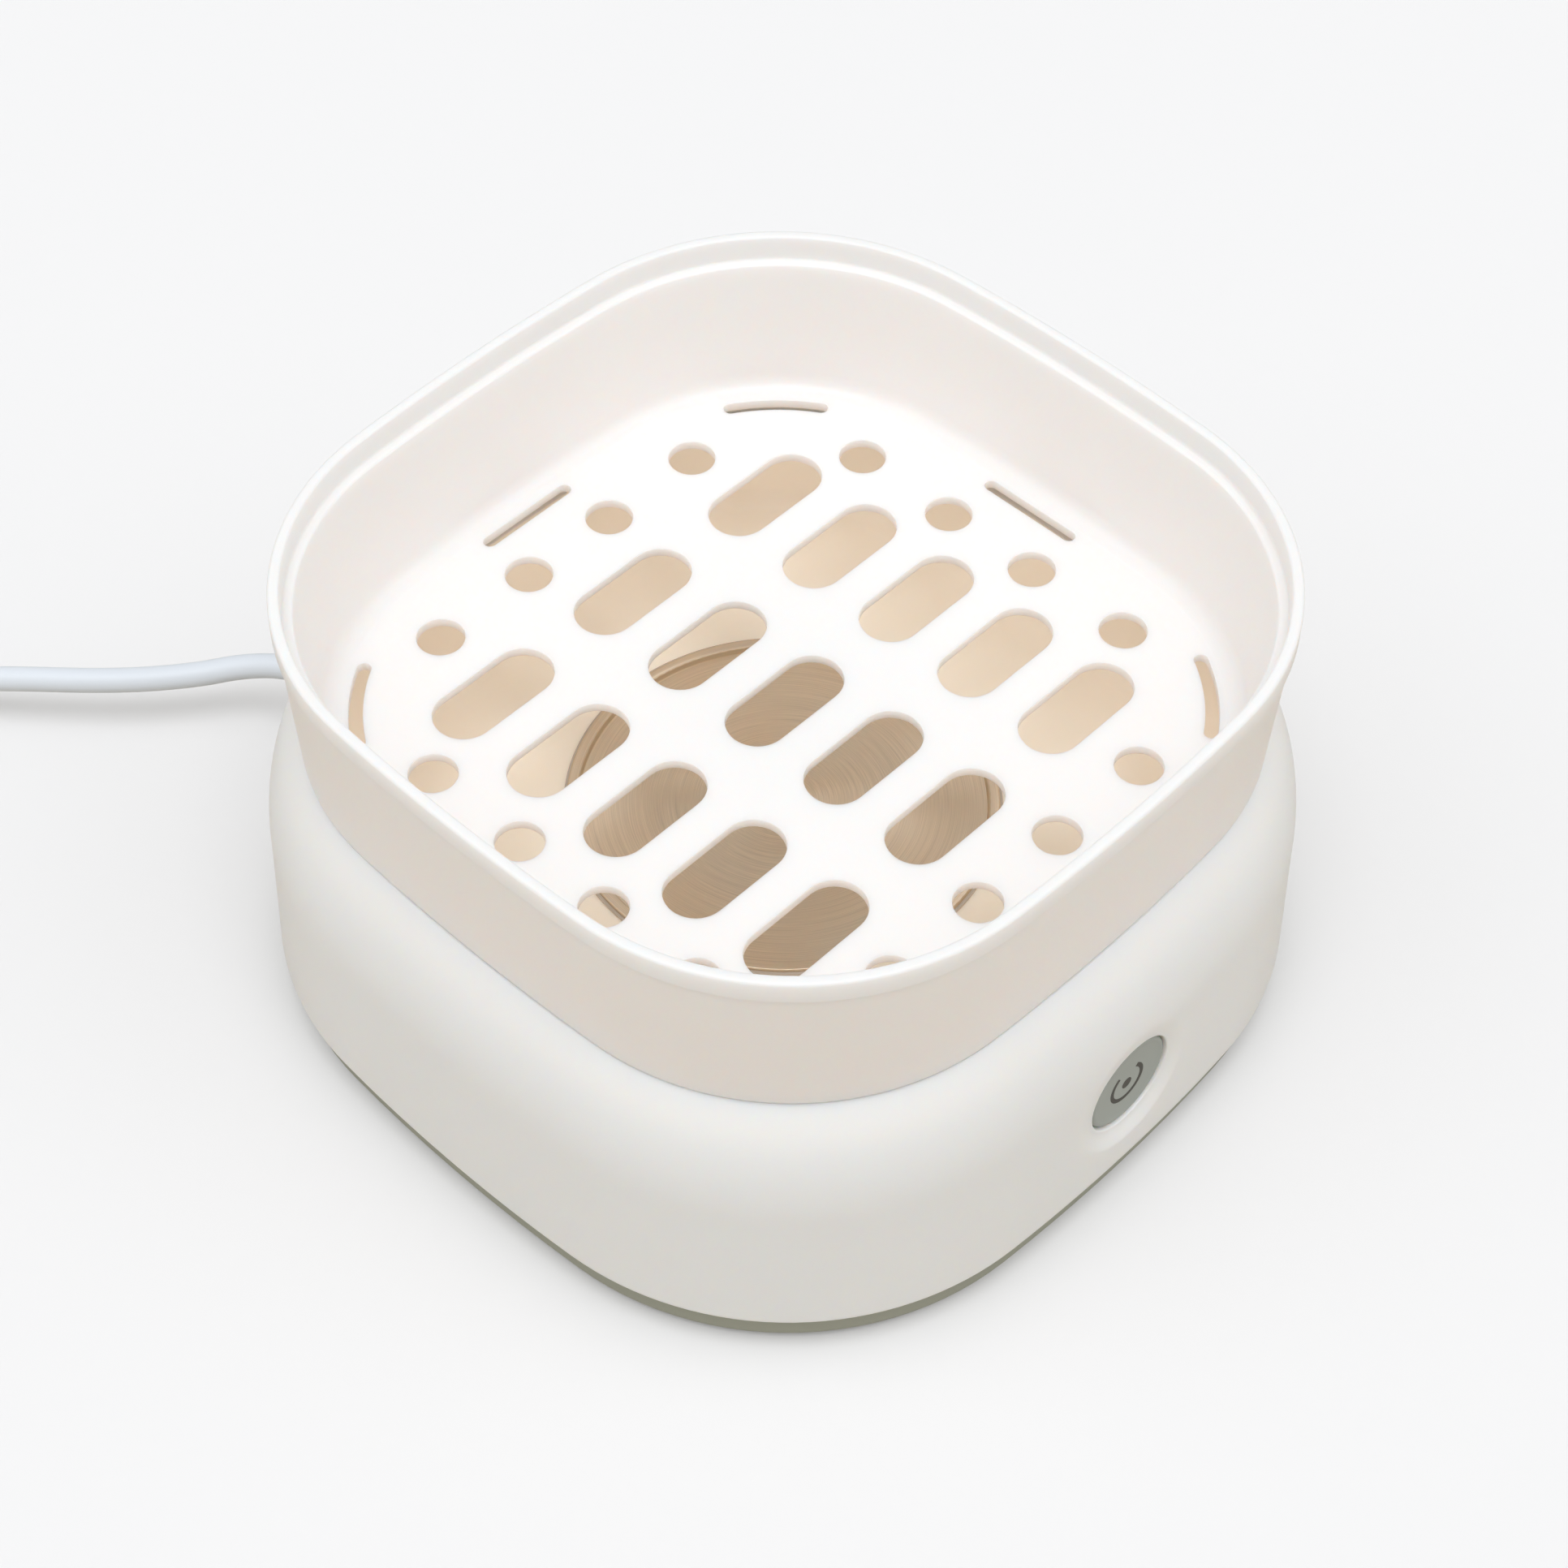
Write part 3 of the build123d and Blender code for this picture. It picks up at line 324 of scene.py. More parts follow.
seal_silicone = plastic("seal_silicone", (0.62, 0.57, 0.50), (0.58, 0.53, 0.46), 0.6)
cord_pale = plastic("cord_pale", (0.745, 0.795, 0.85), (0.725, 0.775, 0.83), 0.45, grain=500.0)
cord_rubber = plastic("cord_fittings", (0.58, 0.62, 0.69), (0.55, 0.59, 0.66), 0.5)
board_green = plastic("board_green", (0.03, 0.14, 0.07), (0.02, 0.11, 0.055), 0.4)
screw_steel = metal("screw_steel", (0.60, 0.60, 0.58), (0.50, 0.50, 0.48), 0.3)
soft_aluminium = metal("soft_aluminium", (0.78, 0.78, 0.77), (0.70, 0.70, 0.69), 0.4)
pin_brass = metal("pin_brass", (0.72, 0.58, 0.30), (0.65, 0.51, 0.25), 0.25)
plate_steel = turned_steel("plate_steel")


# Shapes
def link_mesh(name, bm, material):
    """Turns a finished bmesh into an object at the origin."""
    mesh = bpy.data.meshes.new(name)
    bm.to_mesh(mesh)
    bm.free()
    mesh.materials.append(material)
    return link_object(name, mesh)


def link_object(name, mesh):
    made = bpy.data.objects.new(name, mesh)
    bpy.context.scene.collection.objects.link(made)
    return made


def shade(bm, sharp_angle=32.0):
    """Smooth faces, with edges over the angle kept sharp."""
    limit = math.radians(sharp_angle)
    for face in bm.faces:
        face.smooth = True
    for edge in bm.edges:
        edge.smooth = len(edge.link_faces) == 2 and edge.calc_face_angle(0) < limit


def dress(piece, body, slot, *nodes):
    """Rides a piece on its body and hides the CAD nodes it stands for; slot is not used."""
    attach(piece, body)
    if nodes:
        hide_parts(*nodes)


def merged_copy(node, name, material, body, slot, sharp_angle=32.0):
    """A smooth-shaded copy of a CAD node whose triangles are joined first."""
    bm = bmesh.new()
    bm.from_mesh(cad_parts[node].data)
    bmesh.ops.remove_doubles(bm, verts=bm.verts, dist=1e-6)
    shade(bm, sharp_angle)
    piece = link_mesh(name, bm, material)
    dress(piece, body, slot, node)
    return piece


# Rounded squares with bowed sides. Parallels of one outline share its arcs' centres.
side_steps = 28
corner_steps = 32


def arc_centres(half, corner, bow):
    """How far from the axes the arcs' centres lie, and the bearing at which the arcs meet."""
    side_centre = half - bow
    reach = bow - corner
    corner_centre = (side_centre + math.sqrt(2 * reach**2 - side_centre**2)) / 2
    return side_centre, corner_centre, math.atan2(corner_centre, corner_centre - side_centre)


def outline_rays(half, corner, bow):
    """For each point round the outline: its arc's centre, its direction and the arc's radius."""
    side_centre, corner_centre, meet = arc_centres(half, corner, bow)
    rays = []
    for quarter in range(4):
        turn = Matrix.Rotation(math.radians(90 * quarter - 90), 2)
        arcs = [
            (Vector((side_centre, 0)), -meet, 2 * meet, side_steps, bow),
            (Vector((corner_centre, corner_centre)), meet, math.pi / 2 - 2 * meet, corner_steps, corner),
        ]
        for centre, first, sweep, steps, radius in arcs:
            for step in range(steps):
                angle = first + sweep * step / steps
                direction = Vector((math.cos(angle), math.sin(angle)))
                rays.append((turn @ centre, turn @ direction, radius))
    return rays


tray_half = round(box_mm("tray")[1].x, 1)
tray_corner = 60.5
tray_bow = 535.0
shell_half = round(box_mm("base_shell")[1].x, 1)
shell_corner = 69.0
shell_bow = 428.0
tray_rays = outline_rays(tray_half, tray_corner, tray_bow)
shell_rays = outline_rays(shell_half, shell_corner, shell_bow)


def square_row(rays, outer, half, z):
    """Points of an outline's parallel with the given half width."""
    flats = [centre + direction * (radius - (outer - half)) for centre, direction, radius in rays]
    return [Vector((at.x, at.y, z)) for at in flats]


def round_row(rays, outer, radius, z):
    """A circle whose points face those of the outline."""
    row = []
    for at in square_row(rays, outer, outer, z):
        flat = Vector((at.x, at.y)).normalized() * radius
        row.append(Vector((flat.x, flat.y, z)))
    return row


def rounded(profile, steps=4):
    """Replaces each corner (a, b, radius) of an open profile by an arc of that radius."""
    made = []
    for number, (a, b, radius) in enumerate(profile):
        here = Vector((a, b))
        if radius == 0 or number in (0, len(profile) - 1):
            made.append((a, b))
            continue
        before = (Vector(profile[number - 1][:2]) - here).normalized()
        after = (Vector(profile[number + 1][:2]) - here).normalized()
        half_angle = before.angle(after) / 2
        cut = radius / math.tan(half_angle)
        middle = here + (before + after).normalized() * radius / math.sin(half_angle)
        start = here + before * cut - middle
        end = here + after * cut - middle
        sweep = start.angle_signed(end)
        for step in range(steps + 1):
            arm = Matrix.Rotation(-sweep * step / steps, 2) @ start
            made.append(tuple(middle + arm))
    return made


def loft(bm, rows, closed, skip=None):
    """Joins rows of equally many points with quads, except where skip(row, column) is true."""
    count = len(rows[0])
    last = len(rows) if closed else len(rows) - 1
    for number in range(last):
        low = rows[number]
        high = rows[(number + 1) % len(rows)]
        for at in range(count):
            if skip and skip(number, at):
                continue
            beside = (at + 1) % count
            bm.faces.new((low[at], low[beside], high[beside], high[at]))


def vertices(bm, row):
    return [bm.verts.new(place * MM) for place in row]


# Tray
rim_width = 2.4
rim_band = 5.5
rim_drop = 5.9
rim_ledge = 2.2
wall_step = 0.8
wall_draft = 3.0           # degrees
inner_lean = 2.9
floor_thickness = 2.2
floor_rise = 2.55
floor_fillet = 4.0
fillet_share = 0.93        # of the fillet's radius, from the wall to where the ring meets the floor's sheet
skirt_wall = 2.0
skirt_inset = 1.3
wall_height = 40.95        # from the lower edge of the outer wall to the rim
tray_top = box_mm("tray")[1].z
skirt_low = box_mm("tray")[0].z
wall_low = tray_top - wall_height
floor_z = wall_low + floor_rise
band_low = tray_top - rim_band
wall_low_half = tray_half - wall_step - (wall_height - rim_band) * math.tan(math.radians(wall_draft))
rim_inner_half = tray_half - rim_width
ledge_half = rim_inner_half - rim_ledge
inside_low_half = ledge_half - inner_lean
skirt_half = wall_low_half - skirt_inset
floor_meets = inside_low_half - floor_fillet * fillet_share
floor_under = floor_z - floor_thickness
join_distance = 0.01 * MM
hole_edge = 0.4            # rounding of the holes' edges
hole_edge_angle = 50.0     # degrees; sharper edges are rounded


def tray_ring(bm):
    """The tray's wall, rim band, ledge and skirt, from the floor's upper edge to its lower one."""
    profile = [
        (floor_meets, floor_z, 0),
        (inside_low_half, floor_z, floor_fillet),
        (ledge_half, tray_top - rim_drop, 0.5),
        (rim_inner_half, tray_top - rim_drop, 0.5),
        (rim_inner_half, tray_top, 0.5),
        (tray_half, tray_top, 0.7),
        (tray_half, band_low, 0.4),
        (tray_half - wall_step, band_low, 0.25),
        (wall_low_half, wall_low, 1.2),
        (skirt_half, wall_low, 0.3),
        (skirt_half, skirt_low, 0.4),
        (skirt_half - skirt_wall, skirt_low, 0.4),
        (skirt_half - skirt_wall, floor_under, 0.5),
        (floor_meets, floor_under, 0),
    ]
    rows = [vertices(bm, square_row(tray_rays, tray_half, half, z)) for half, z in rounded(profile, 5)]
    loft(bm, rows, closed=False)


# Geometry Nodes
def new_tree(name, sizes):
    """A tree with an input for each size, its input node, and a function that adds nodes."""
    tree = bpy.data.node_groups.new(name, "GeometryNodeTree")
    tree.interface.new_socket("Geometry", in_out="INPUT", socket_type="NodeSocketGeometry")
    for size in sizes:
        tree.interface.new_socket(size, in_out="INPUT", socket_type="NodeSocketFloat")
    tree.interface.new_socket("Geometry", in_out="OUTPUT", socket_type="NodeSocketGeometry")
    return tree, tree.nodes.new("NodeGroupInput"), node_adder(tree)


def grow(name, tree, sizes, seed_mesh, material):
    """Runs a tree once on a seed mesh and keeps its result as a plain mesh."""
    seed_mesh.materials.append(material)
    holder = bpy.data.objects.new(name, seed_mesh)
    modifier = holder.modifiers.new("shape", "NODES")
    modifier.node_group = tree
    for item in tree.interface.items_tree:
        if item.in_out == "INPUT" and item.name in sizes:
            modifier[item.identifier] = float(sizes[item.name])
    bpy.context.scene.collection.objects.link(holder)
    bpy.context.view_layer.update()
    result = bpy.data.meshes.new_from_object(holder.evaluated_get(bpy.context.evaluated_depsgraph_get()))
    holder.modifiers.remove(modifier)
    holder.data = result
    return holder


thin_slot_inset = 14.2     # from the rim's outside to the thin slots
hole_inset = 27.2          # from the rim's outside to the line of round holes along each wall
slot_columns = 3
slot_rows = 5
floor_sizes = {
    "Slot half width": 6.7,
    "Slot half run": 8.15,
    "Column pitch": 40.4,
    "Row pitch": 22.2,
    "Hole radius": 5.15,
    "Hole distance": tray_half - hole_inset,
    "Hole near": 11.9,
    "Hole far": 37.3,
    "Thin slot width": 3.0,
    "Side slot half run": 11.0,
    "Side slot distance": tray_half - thin_slot_inset,
    "Corner slot radius": tray_corner - thin_slot_inset,
    "Corner slot half angle": 12.6,
    "Corner centre": round(arc_centres(tray_half, tray_corner, tray_bow)[1], 2),
    "Thickness": floor_thickness,
    "Top": floor_z,
}
# points round each outline
round_end_points = 12
wide_slot_points = 72
thin_slot_points = 96
hole_points = 40


def floor_tree():
    """Cuts slots and holes into an outline and gives the sheet its thickness."""
    tree, given, add = new_tree("perforated_floor", floor_sizes)
    size = given.outputs

    def sums(operation, first, second):
        return add("ShaderNodeMath", {"operation": operation}, i0=first, i1=second).outputs[0]

    def twice(value):
        return sums("MULTIPLY", value, 2.0)

    def slot_outline(half_run, width, points):
        """An outline with round ends, lying along X."""
        length = sums("ADD", twice(half_run), width)
        shape = add("GeometryNodeCurvePrimitiveQuadrilateral", {"mode": "RECTANGLE"},
                    Width=length, Height=width)
        radius = sums("MULTIPLY", width, 0.499)
        filleted = add("GeometryNodeFilletCurve", {"mode": "POLY"}, Curve=shape.outputs[0], Radius=radius)
        filleted.inputs["Count"].default_value = round_end_points
        filleted.inputs["Limit Radius"].default_value = True
        even = add("GeometryNodeResampleCurve", Curve=filleted.outputs[0], Count=points)
        return even.outputs[0]

    def four_turns(geometry):
        """The geometry turned about Z by each quarter."""
        points = add("GeometryNodeMeshLine", Count=4, Offset=(0, 0, 0))
        angle = sums("MULTIPLY", add("GeometryNodeInputIndex").outputs[0], math.pi / 2)
        turn = add("ShaderNodeCombineXYZ", Z=angle)
        placed = add("GeometryNodeInstanceOnPoints", Points=points.outputs[0], Instance=geometry,
                     Rotation=turn.outputs[0])
        return placed.outputs[0]

    # the grid of wide slots
    wide = slot_outline(size["Slot half run"], twice(size["Slot half width"]), wide_slot_points)
    grid = add("GeometryNodeMeshGrid",
               Size_X=sums("MULTIPLY", size["Column pitch"], float(slot_columns - 1)),
               Size_Y=sums("MULTIPLY", size["Row pitch"], float(slot_rows - 1)),
               Vertices_X=slot_columns, Vertices_Y=slot_rows)
    slots = add("GeometryNodeInstanceOnPoints", Points=grid.outputs[0], Instance=wide).outputs[0]

    # round holes in a row along each side
    hole = add("GeometryNodeCurvePrimitiveCircle", {"mode": "RADIUS"},
               Resolution=hole_points, Radius=size["Hole radius"])
    pairs = []
    for reach in ("Hole near", "Hole far"):
        start = add("ShaderNodeCombineXYZ", X=size["Hole distance"], Y=sums("MULTIPLY", size[reach], -1.0))
        end = add("ShaderNodeCombineXYZ", X=size["Hole distance"], Y=size[reach])
        line = add("GeometryNodeMeshLine", {"mode": "END_POINTS"}, Count=2)
        tree.links.new(start.outputs[0], line.inputs["Start Location"])
        tree.links.new(end.outputs[0], line.inputs["Offset"])
        pairs.append(line.outputs[0])
    row = add("GeometryNodeJoinGeometry", Geometry=pairs)
    side_holes = add("GeometryNodeInstanceOnPoints", Points=row.outputs[0], Instance=hole.outputs[0])
    holes = four_turns(side_holes.outputs[0])

    # a thin slot beside each wall
    thin = slot_outline(size["Side slot half run"], size["Thin slot width"], thin_slot_points)
    beside = add("ShaderNodeCombineXYZ", Y=size["Side slot distance"])
    moved = add("GeometryNodeTransform", Geometry=thin, Translation=beside.outputs[0])
    side_slots = four_turns(moved.outputs[0])

    # a thin slot bent round each corner
    angle = sums("RADIANS", size["Corner slot half angle"], 0.0)
    run = sums("MULTIPLY", angle, size["Corner slot radius"])
    straight = slot_outline(run, size["Thin slot width"], thin_slot_points)
    place = add("ShaderNodeSeparateXYZ", Vector=add("GeometryNodeInputPosition").outputs[0])
    bearing = sums("ADD", sums("DIVIDE", place.outputs["X"], size["Corner slot radius"]), math.pi / 4)
    reach = sums("SUBTRACT", size["Corner slot radius"], place.outputs["Y"])
    bent = add(
        "ShaderNodeCombineXYZ",
        X=sums("ADD", size["Corner centre"], sums("MULTIPLY", reach, sums("COSINE", bearing, 0.0))),
        Y=sums("ADD", size["Corner centre"], sums("MULTIPLY", reach, sums("SINE", bearing, 0.0))),
    )
    curved = add("GeometryNodeSetPosition", Geometry=straight, Position=bent.outputs[0])
    corner_slots = four_turns(curved.outputs[0])

    # the sheet
    rim = add("GeometryNodeMeshToCurve", Mesh=size["Geometry"])
    joined = add("GeometryNodeJoinGeometry",
                 Geometry=[rim.outputs[0], slots, holes, side_slots, corner_slots])
    loose = add("GeometryNodeRealizeInstances", Geometry=joined.outputs[0])
    filled = add("GeometryNodeFillCurve", Curve=loose.outputs[0])
    top = add("ShaderNodeCombineXYZ", Z=size["Top"])
    sheet = add("GeometryNodeTransform", Geometry=filled.outputs[0], Translation=top.outputs[0])
    down = add("ShaderNodeCombineXYZ", Z=sums("MULTIPLY", size["Thickness"], -1.0))
    walls = add("GeometryNodeExtrudeMesh", {"mode": "FACES"}, Mesh=sheet.outputs[0], Offset=down.outputs[0])
    walls.inputs["Individual"].default_value = False
    walls.inputs["Offset Scale"].default_value = 1.0
    both = add("GeometryNodeJoinGeometry", Geometry=[sheet.outputs[0], walls.outputs[0]])
    merged = add("GeometryNodeMergeByDistance", Geometry=both.outputs[0], Distance=0.01)
    small = add("GeometryNodeTransform", Geometry=merged.outputs[0], Scale=(MM, MM, MM))
    solid = add("GeometryNodeRealizeInstances", Geometry=small.outputs[0])
    coloured = add("GeometryNodeSetMaterial", Geometry=solid.outputs[0])
    coloured.inputs["Material"].default_value = tray_white
    out = tree.nodes.new("NodeGroupOutput")
    tree.links.new(coloured.outputs[0], out.inputs[0])
    return tree


def add_tray():
    """The perforated floor and the ring round it, joined into one closed mesh."""
    outline = square_row(tray_rays, tray_half, floor_meets, 0)
    bm = bmesh.new()
    loop = [bm.verts.new(place) for place in outline]
    for first, second in zip(loop, loop[1:] + loop[:1]):
        bm.edges.new((first, second))
    seed = bpy.data.meshes.new("tray_floor_outline")
    bm.to_mesh(seed)
    bm.free()
    sheet = grow("tray_floor", floor_tree(), floor_sizes, seed, tray_white)

    bm = bmesh.new()
    bm.from_mesh(sheet.data)
    bpy.data.objects.remove(sheet)
    # the sheet's outer side goes, because the ring begins there
    finder = KDTree(len(outline))
    for number, place in enumerate(outline):
        finder.insert(place * MM, number)
    finder.balance()
    outer = []
    for face in bm.faces:
        if abs(face.normal.z) < 0.5:
            flat = [Vector((at.co.x, at.co.y, 0)) for at in face.verts]
            if all(finder.find(place)[2] < join_distance for place in flat):
                outer.append(face)
    bmesh.ops.delete(bm, geom=outer, context="FACES_ONLY")
    tray_ring(bm)
    bmesh.ops.remove_doubles(bm, verts=bm.verts, dist=join_distance)
    bmesh.ops.recalc_face_normals(bm, faces=bm.faces)
    for face in bm.faces:
        face.smooth = True
        face.material_index = 0
    tray = link_mesh("tray_body", bm, tray_white)
    edge = tray.modifiers.new("hole_edges", "BEVEL")
    edge.width = hole_edge * MM
    edge.segments = 3
    edge.limit_method = "ANGLE"
    edge.angle_limit = math.radians(hole_edge_angle)
    edge.harden_normals = True
    dress(tray, "tray", "tray_plastic", "tray")


# Base shell
shell_draft = 2.0          # degrees
shell_straight = 32.5
shoulder_run = 17.5        # half axes of the shoulder's ellipse
shoulder_rise = 32.0
shell_wall = 2.5
recess_half = skirt_half + 0.35
recess_depth = 7.3
shell_rise = 1.2           # the shoulder runs this far above the CAD piece, up to the tray's wall
bowl_ledge = 1.6
bowl_depth = 22.2
bowl_lean = 4.3
bowl_fillet = 5.0
cover_height = 8.0         # from the bottom cover's underside to the shell's lower edge
shell_low = box_mm("bottom_cover")[0].z + cover_height
shell_top = box_mm("base_shell")[1].z + shell_rise
shoulder_z = shell_low + shell_straight
shoulder_half = shell_half - shell_straight * math.tan(math.radians(shell_draft))
ledge_z = shell_top - recess_depth
bowl_top_half = skirt_half - skirt_wall - bowl_ledge
bowl_half = bowl_top_half - bowl_lean
bowl_z = ledge_z - bowl_depth
bowl_under = bowl_z - shell_wall
shell_roof = ledge_z - shell_wall
plate_opening = 45.65
bowl_row = 12.0            # from the bowl's wall to the first row on its floor
bowl_inner_row = 22.0      # and to the second
opening_row = 4.0          # from the plate's opening to the row round it
button_height = 23.0       # above the shell's lower edge
button_z = shell_low + button_height
button_hole = 11.65
button_hole_round = 0.35
dish_radius = 16.5
dish_bottom = 12.0         # radius of the dish's flat bottom
dish_depth = 0.95
dish_margin = 0.4          # of level wall round the dish
dish_rings = 16
boss_depth = 3.65
front_y = -(shell_half - button_height * math.tan(math.radians(shell_draft)))
boss_back_y = front_y + dish_depth + boss_depth


def shell_half_at(z):
    """Half width of the shell's outside at a height."""
    if z <= shoulder_z:
        return shell_half - (z - shell_low) * math.tan(math.radians(shell_draft))
    rise = (z - shoulder_z) / shoulder_rise
    return shoulder_half - shoulder_run * (1 - math.sqrt(1 - rise**2))


def front_wall_y(x, z, inset=0.0):
    """Where the shell's front wall is, before the dish."""
    radius = shell_bow - (shell_half - shell_half_at(z)) - inset
    return (shell_bow - shell_half) - math.sqrt(radius**2 - x**2)


def around_button(radius, angle):
    """Across and up, for a point about the button's axis."""
    return math.cos(angle) * radius, button_z + math.sin(angle) * radius


def dished_y(x, z):
    """The front wall with the button's shallow dish: a flat bottom and a soft flank."""
    distance = math.hypot(x, z - button_z)
    share = min(max((dish_radius - distance) / (dish_radius - dish_bottom), 0.0), 1.0)
    share = share * share * (3 - 2 * share)
    return front_wall_y(x, z) * (1 - share) + (front_y + dish_depth) * share


window_low = shell_low + 1.0
window_angle = 24.0        # degrees up the shoulder's ellipse to the window's upper edge
window_columns = 8         # on each side of the button's axis
wall_rows = 10             # up the drafted wall
window_shoulder_rows = 8   # from there to the window's upper edge
top_rows = 12              # from there to the shell's upper edge
window_rows = wall_rows + window_shoulder_rows


def shell_rows():
    """The shell's section as rows, and the rows that bound the button's windows."""
    top_angle = math.degrees(math.asin((shell_top - shoulder_z) / shoulder_rise))
    wall = shoulder_z - window_low
    heights = [window_low + wall * step / wall_rows for step in range(wall_rows + 1)]
    steps = range(1, window_shoulder_rows + 1)
    shoulder = [window_angle * step / window_shoulder_rows for step in steps]
    above = top_angle - window_angle
    shoulder += [window_angle + above * step / top_rows for step in range(1, top_rows)]
    heights += [shoulder_z + shoulder_rise * math.sin(math.radians(angle)) for angle in shoulder]
    rows = [("square", half, z) for half, z in rounded([
        (shell_half - shell_wall, shell_low, 0),
        (shell_half, shell_low, 0.5),
        (shell_half_at(window_low), window_low, 0),
    ])[1:-1]]
    first_outer = len(rows)
    rows += [("square", shell_half_at(z), z) for z in heights]
    last_outer = first_outer + window_rows
    inside = rounded([
        (shell_half_at(heights[-1]), heights[-1], 0),
        (shell_half_at(shell_top), shell_top, 0.15),
        (recess_half, shell_top, 0.2),
        (recess_half, ledge_z, 0.5),
        (bowl_top_half, ledge_z, 0.8),
        (bowl_half, bowl_z, bowl_fillet),
        (bowl_half - bowl_row, bowl_z, 0),
    ], 5)
    rows += [("square", half, z) for half, z in inside[1:]]
    rows += [("square", bowl_half - bowl_inner_row, bowl_z)]
    rows += [("round", radius, z) for radius, z in rounded([
        (plate_opening + opening_row, bowl_z, 0),
        (plate_opening, bowl_z, 0.3),
        (plate_opening, bowl_under, 0.3),
        (plate_opening + opening_row, bowl_under, 0),
    ])]
    rows += [
        ("square", bowl_half + shell_wall, bowl_under),
        ("square", bowl_top_half + shell_wall, shell_roof),
        ("square", shell_half_at(shell_roof) - shell_wall, shell_roof),
    ]
    first_inner = len(rows)
    under_roof = reversed(heights[:window_rows + 1])
    rows += [("square", shell_half_at(z) - shell_wall, z) for z in under_roof]
    last_inner = first_inner + window_rows
    rows += [("square", shell_half - shell_wall, shell_low)]
    return rows, (first_outer, last_outer), (first_inner, last_inner)


def window_frame(rows, first, last, left, right):
    """The vertices round a window in the wall, in order."""
    up = 1 if last > first else -1
    loop = [rows[first][column] for column in range(left, right)]
    loop += [rows[row][right] for row in range(first, last, up)]
    loop += [rows[last][column] for column in range(right, left, -1)]
    loop += [rows[row][left] for row in range(last, first, -up)]
    return loop


# The pocket in the back wall for the lead's strain relief
pocket_height = 10.5       # of its middle above the shell's lower edge
pocket_centre = Vector((cord_exit[0], shell_low + pocket_height))
pocket_half_width = 9.5
pocket_half_height = 8.5
pocket_depth = 18.0        # from the lead's exit to the pocket's back wall
pocket_back_y = cord_exit[1] - pocket_depth
pocket_wall = 0.9
pocket_round = 0.5
relief_hole = 5.5
pocket_columns = (142, 152)
pocket_rows = 8            # up from the window's lower edge


def back_wall_y(x, z, inset=0.0):
    """Where the shell's back wall is, on the side's arc or on the corner's."""
    side_centre, corner_centre, meet = arc_centres(shell_half, shell_corner, shell_bow)
    fall = shell_half - shell_half_at(z) + inset
    bow = shell_bow - fall
    if abs(x) <= bow * math.sin(meet):
        return side_centre + math.sqrt(bow**2 - x**2)
    corner = shell_corner - fall
    return corner_centre + math.sqrt(corner**2 - (abs(x) - corner_centre) ** 2)


def pocket_place(angle, spread):
    """A point of the pocket's outline, a rectangle with soft corners, grown by the spread."""
    across = abs(math.cos(angle)) / (pocket_half_width + spread)
    along = abs(math.sin(angle)) / (pocket_half_height + spread)
    reach = (across**10 + along**10) ** -0.1
    return pocket_centre + Vector((math.cos(angle), math.sin(angle))) * reach


def pocket_loops(bm, frame_loop):
    """From the window's frame into the pocket, through its back wall and out inside the shell."""
    flats = [Vector((at.co.x, at.co.z)) / MM for at in frame_loop]
    angles = [math.atan2(flat.y - pocket_centre.y, flat.x - pocket_centre.x) for flat in flats]
    loops = [frame_loop]

    def add_loop(places, depth):
        loops.append(vertices(bm, [Vector((flat.x, depth(flat), flat.y)) for flat in places]))

    for share in (0.5, 1.0):
        blend = [flat.lerp(pocket_place(angle, pocket_round), share) for flat, angle in zip(flats, angles)]
        add_loop(blend, lambda flat: back_wall_y(flat.x, flat.y))
    for turn in (30, 60, 90):
        spread = pocket_round * (1 - math.sin(math.radians(turn)))
        sink = pocket_round * (1 - math.cos(math.radians(turn)))
        mouth = [pocket_place(angle, spread) for angle in angles]
        add_loop(mouth, lambda flat: back_wall_y(flat.x, flat.y) - sink)
    add_loop([pocket_place(angle, 0) for angle in angles], lambda flat: pocket_back_y)
    hole_at = Vector((cord_exit[0], cord_exit[2]))
    ring = [hole_at + Vector((math.cos(angle), math.sin(angle))) * relief_hole for angle in angles]
    add_loop(ring, lambda flat: pocket_back_y)
    add_loop(ring, lambda flat: pocket_back_y - pocket_wall)
    outside = [pocket_place(angle, pocket_wall) for angle in angles]
    add_loop(outside, lambda flat: pocket_back_y - pocket_wall)
    add_loop(outside, lambda flat: back_wall_y(flat.x, flat.y, shell_wall))
    return loops


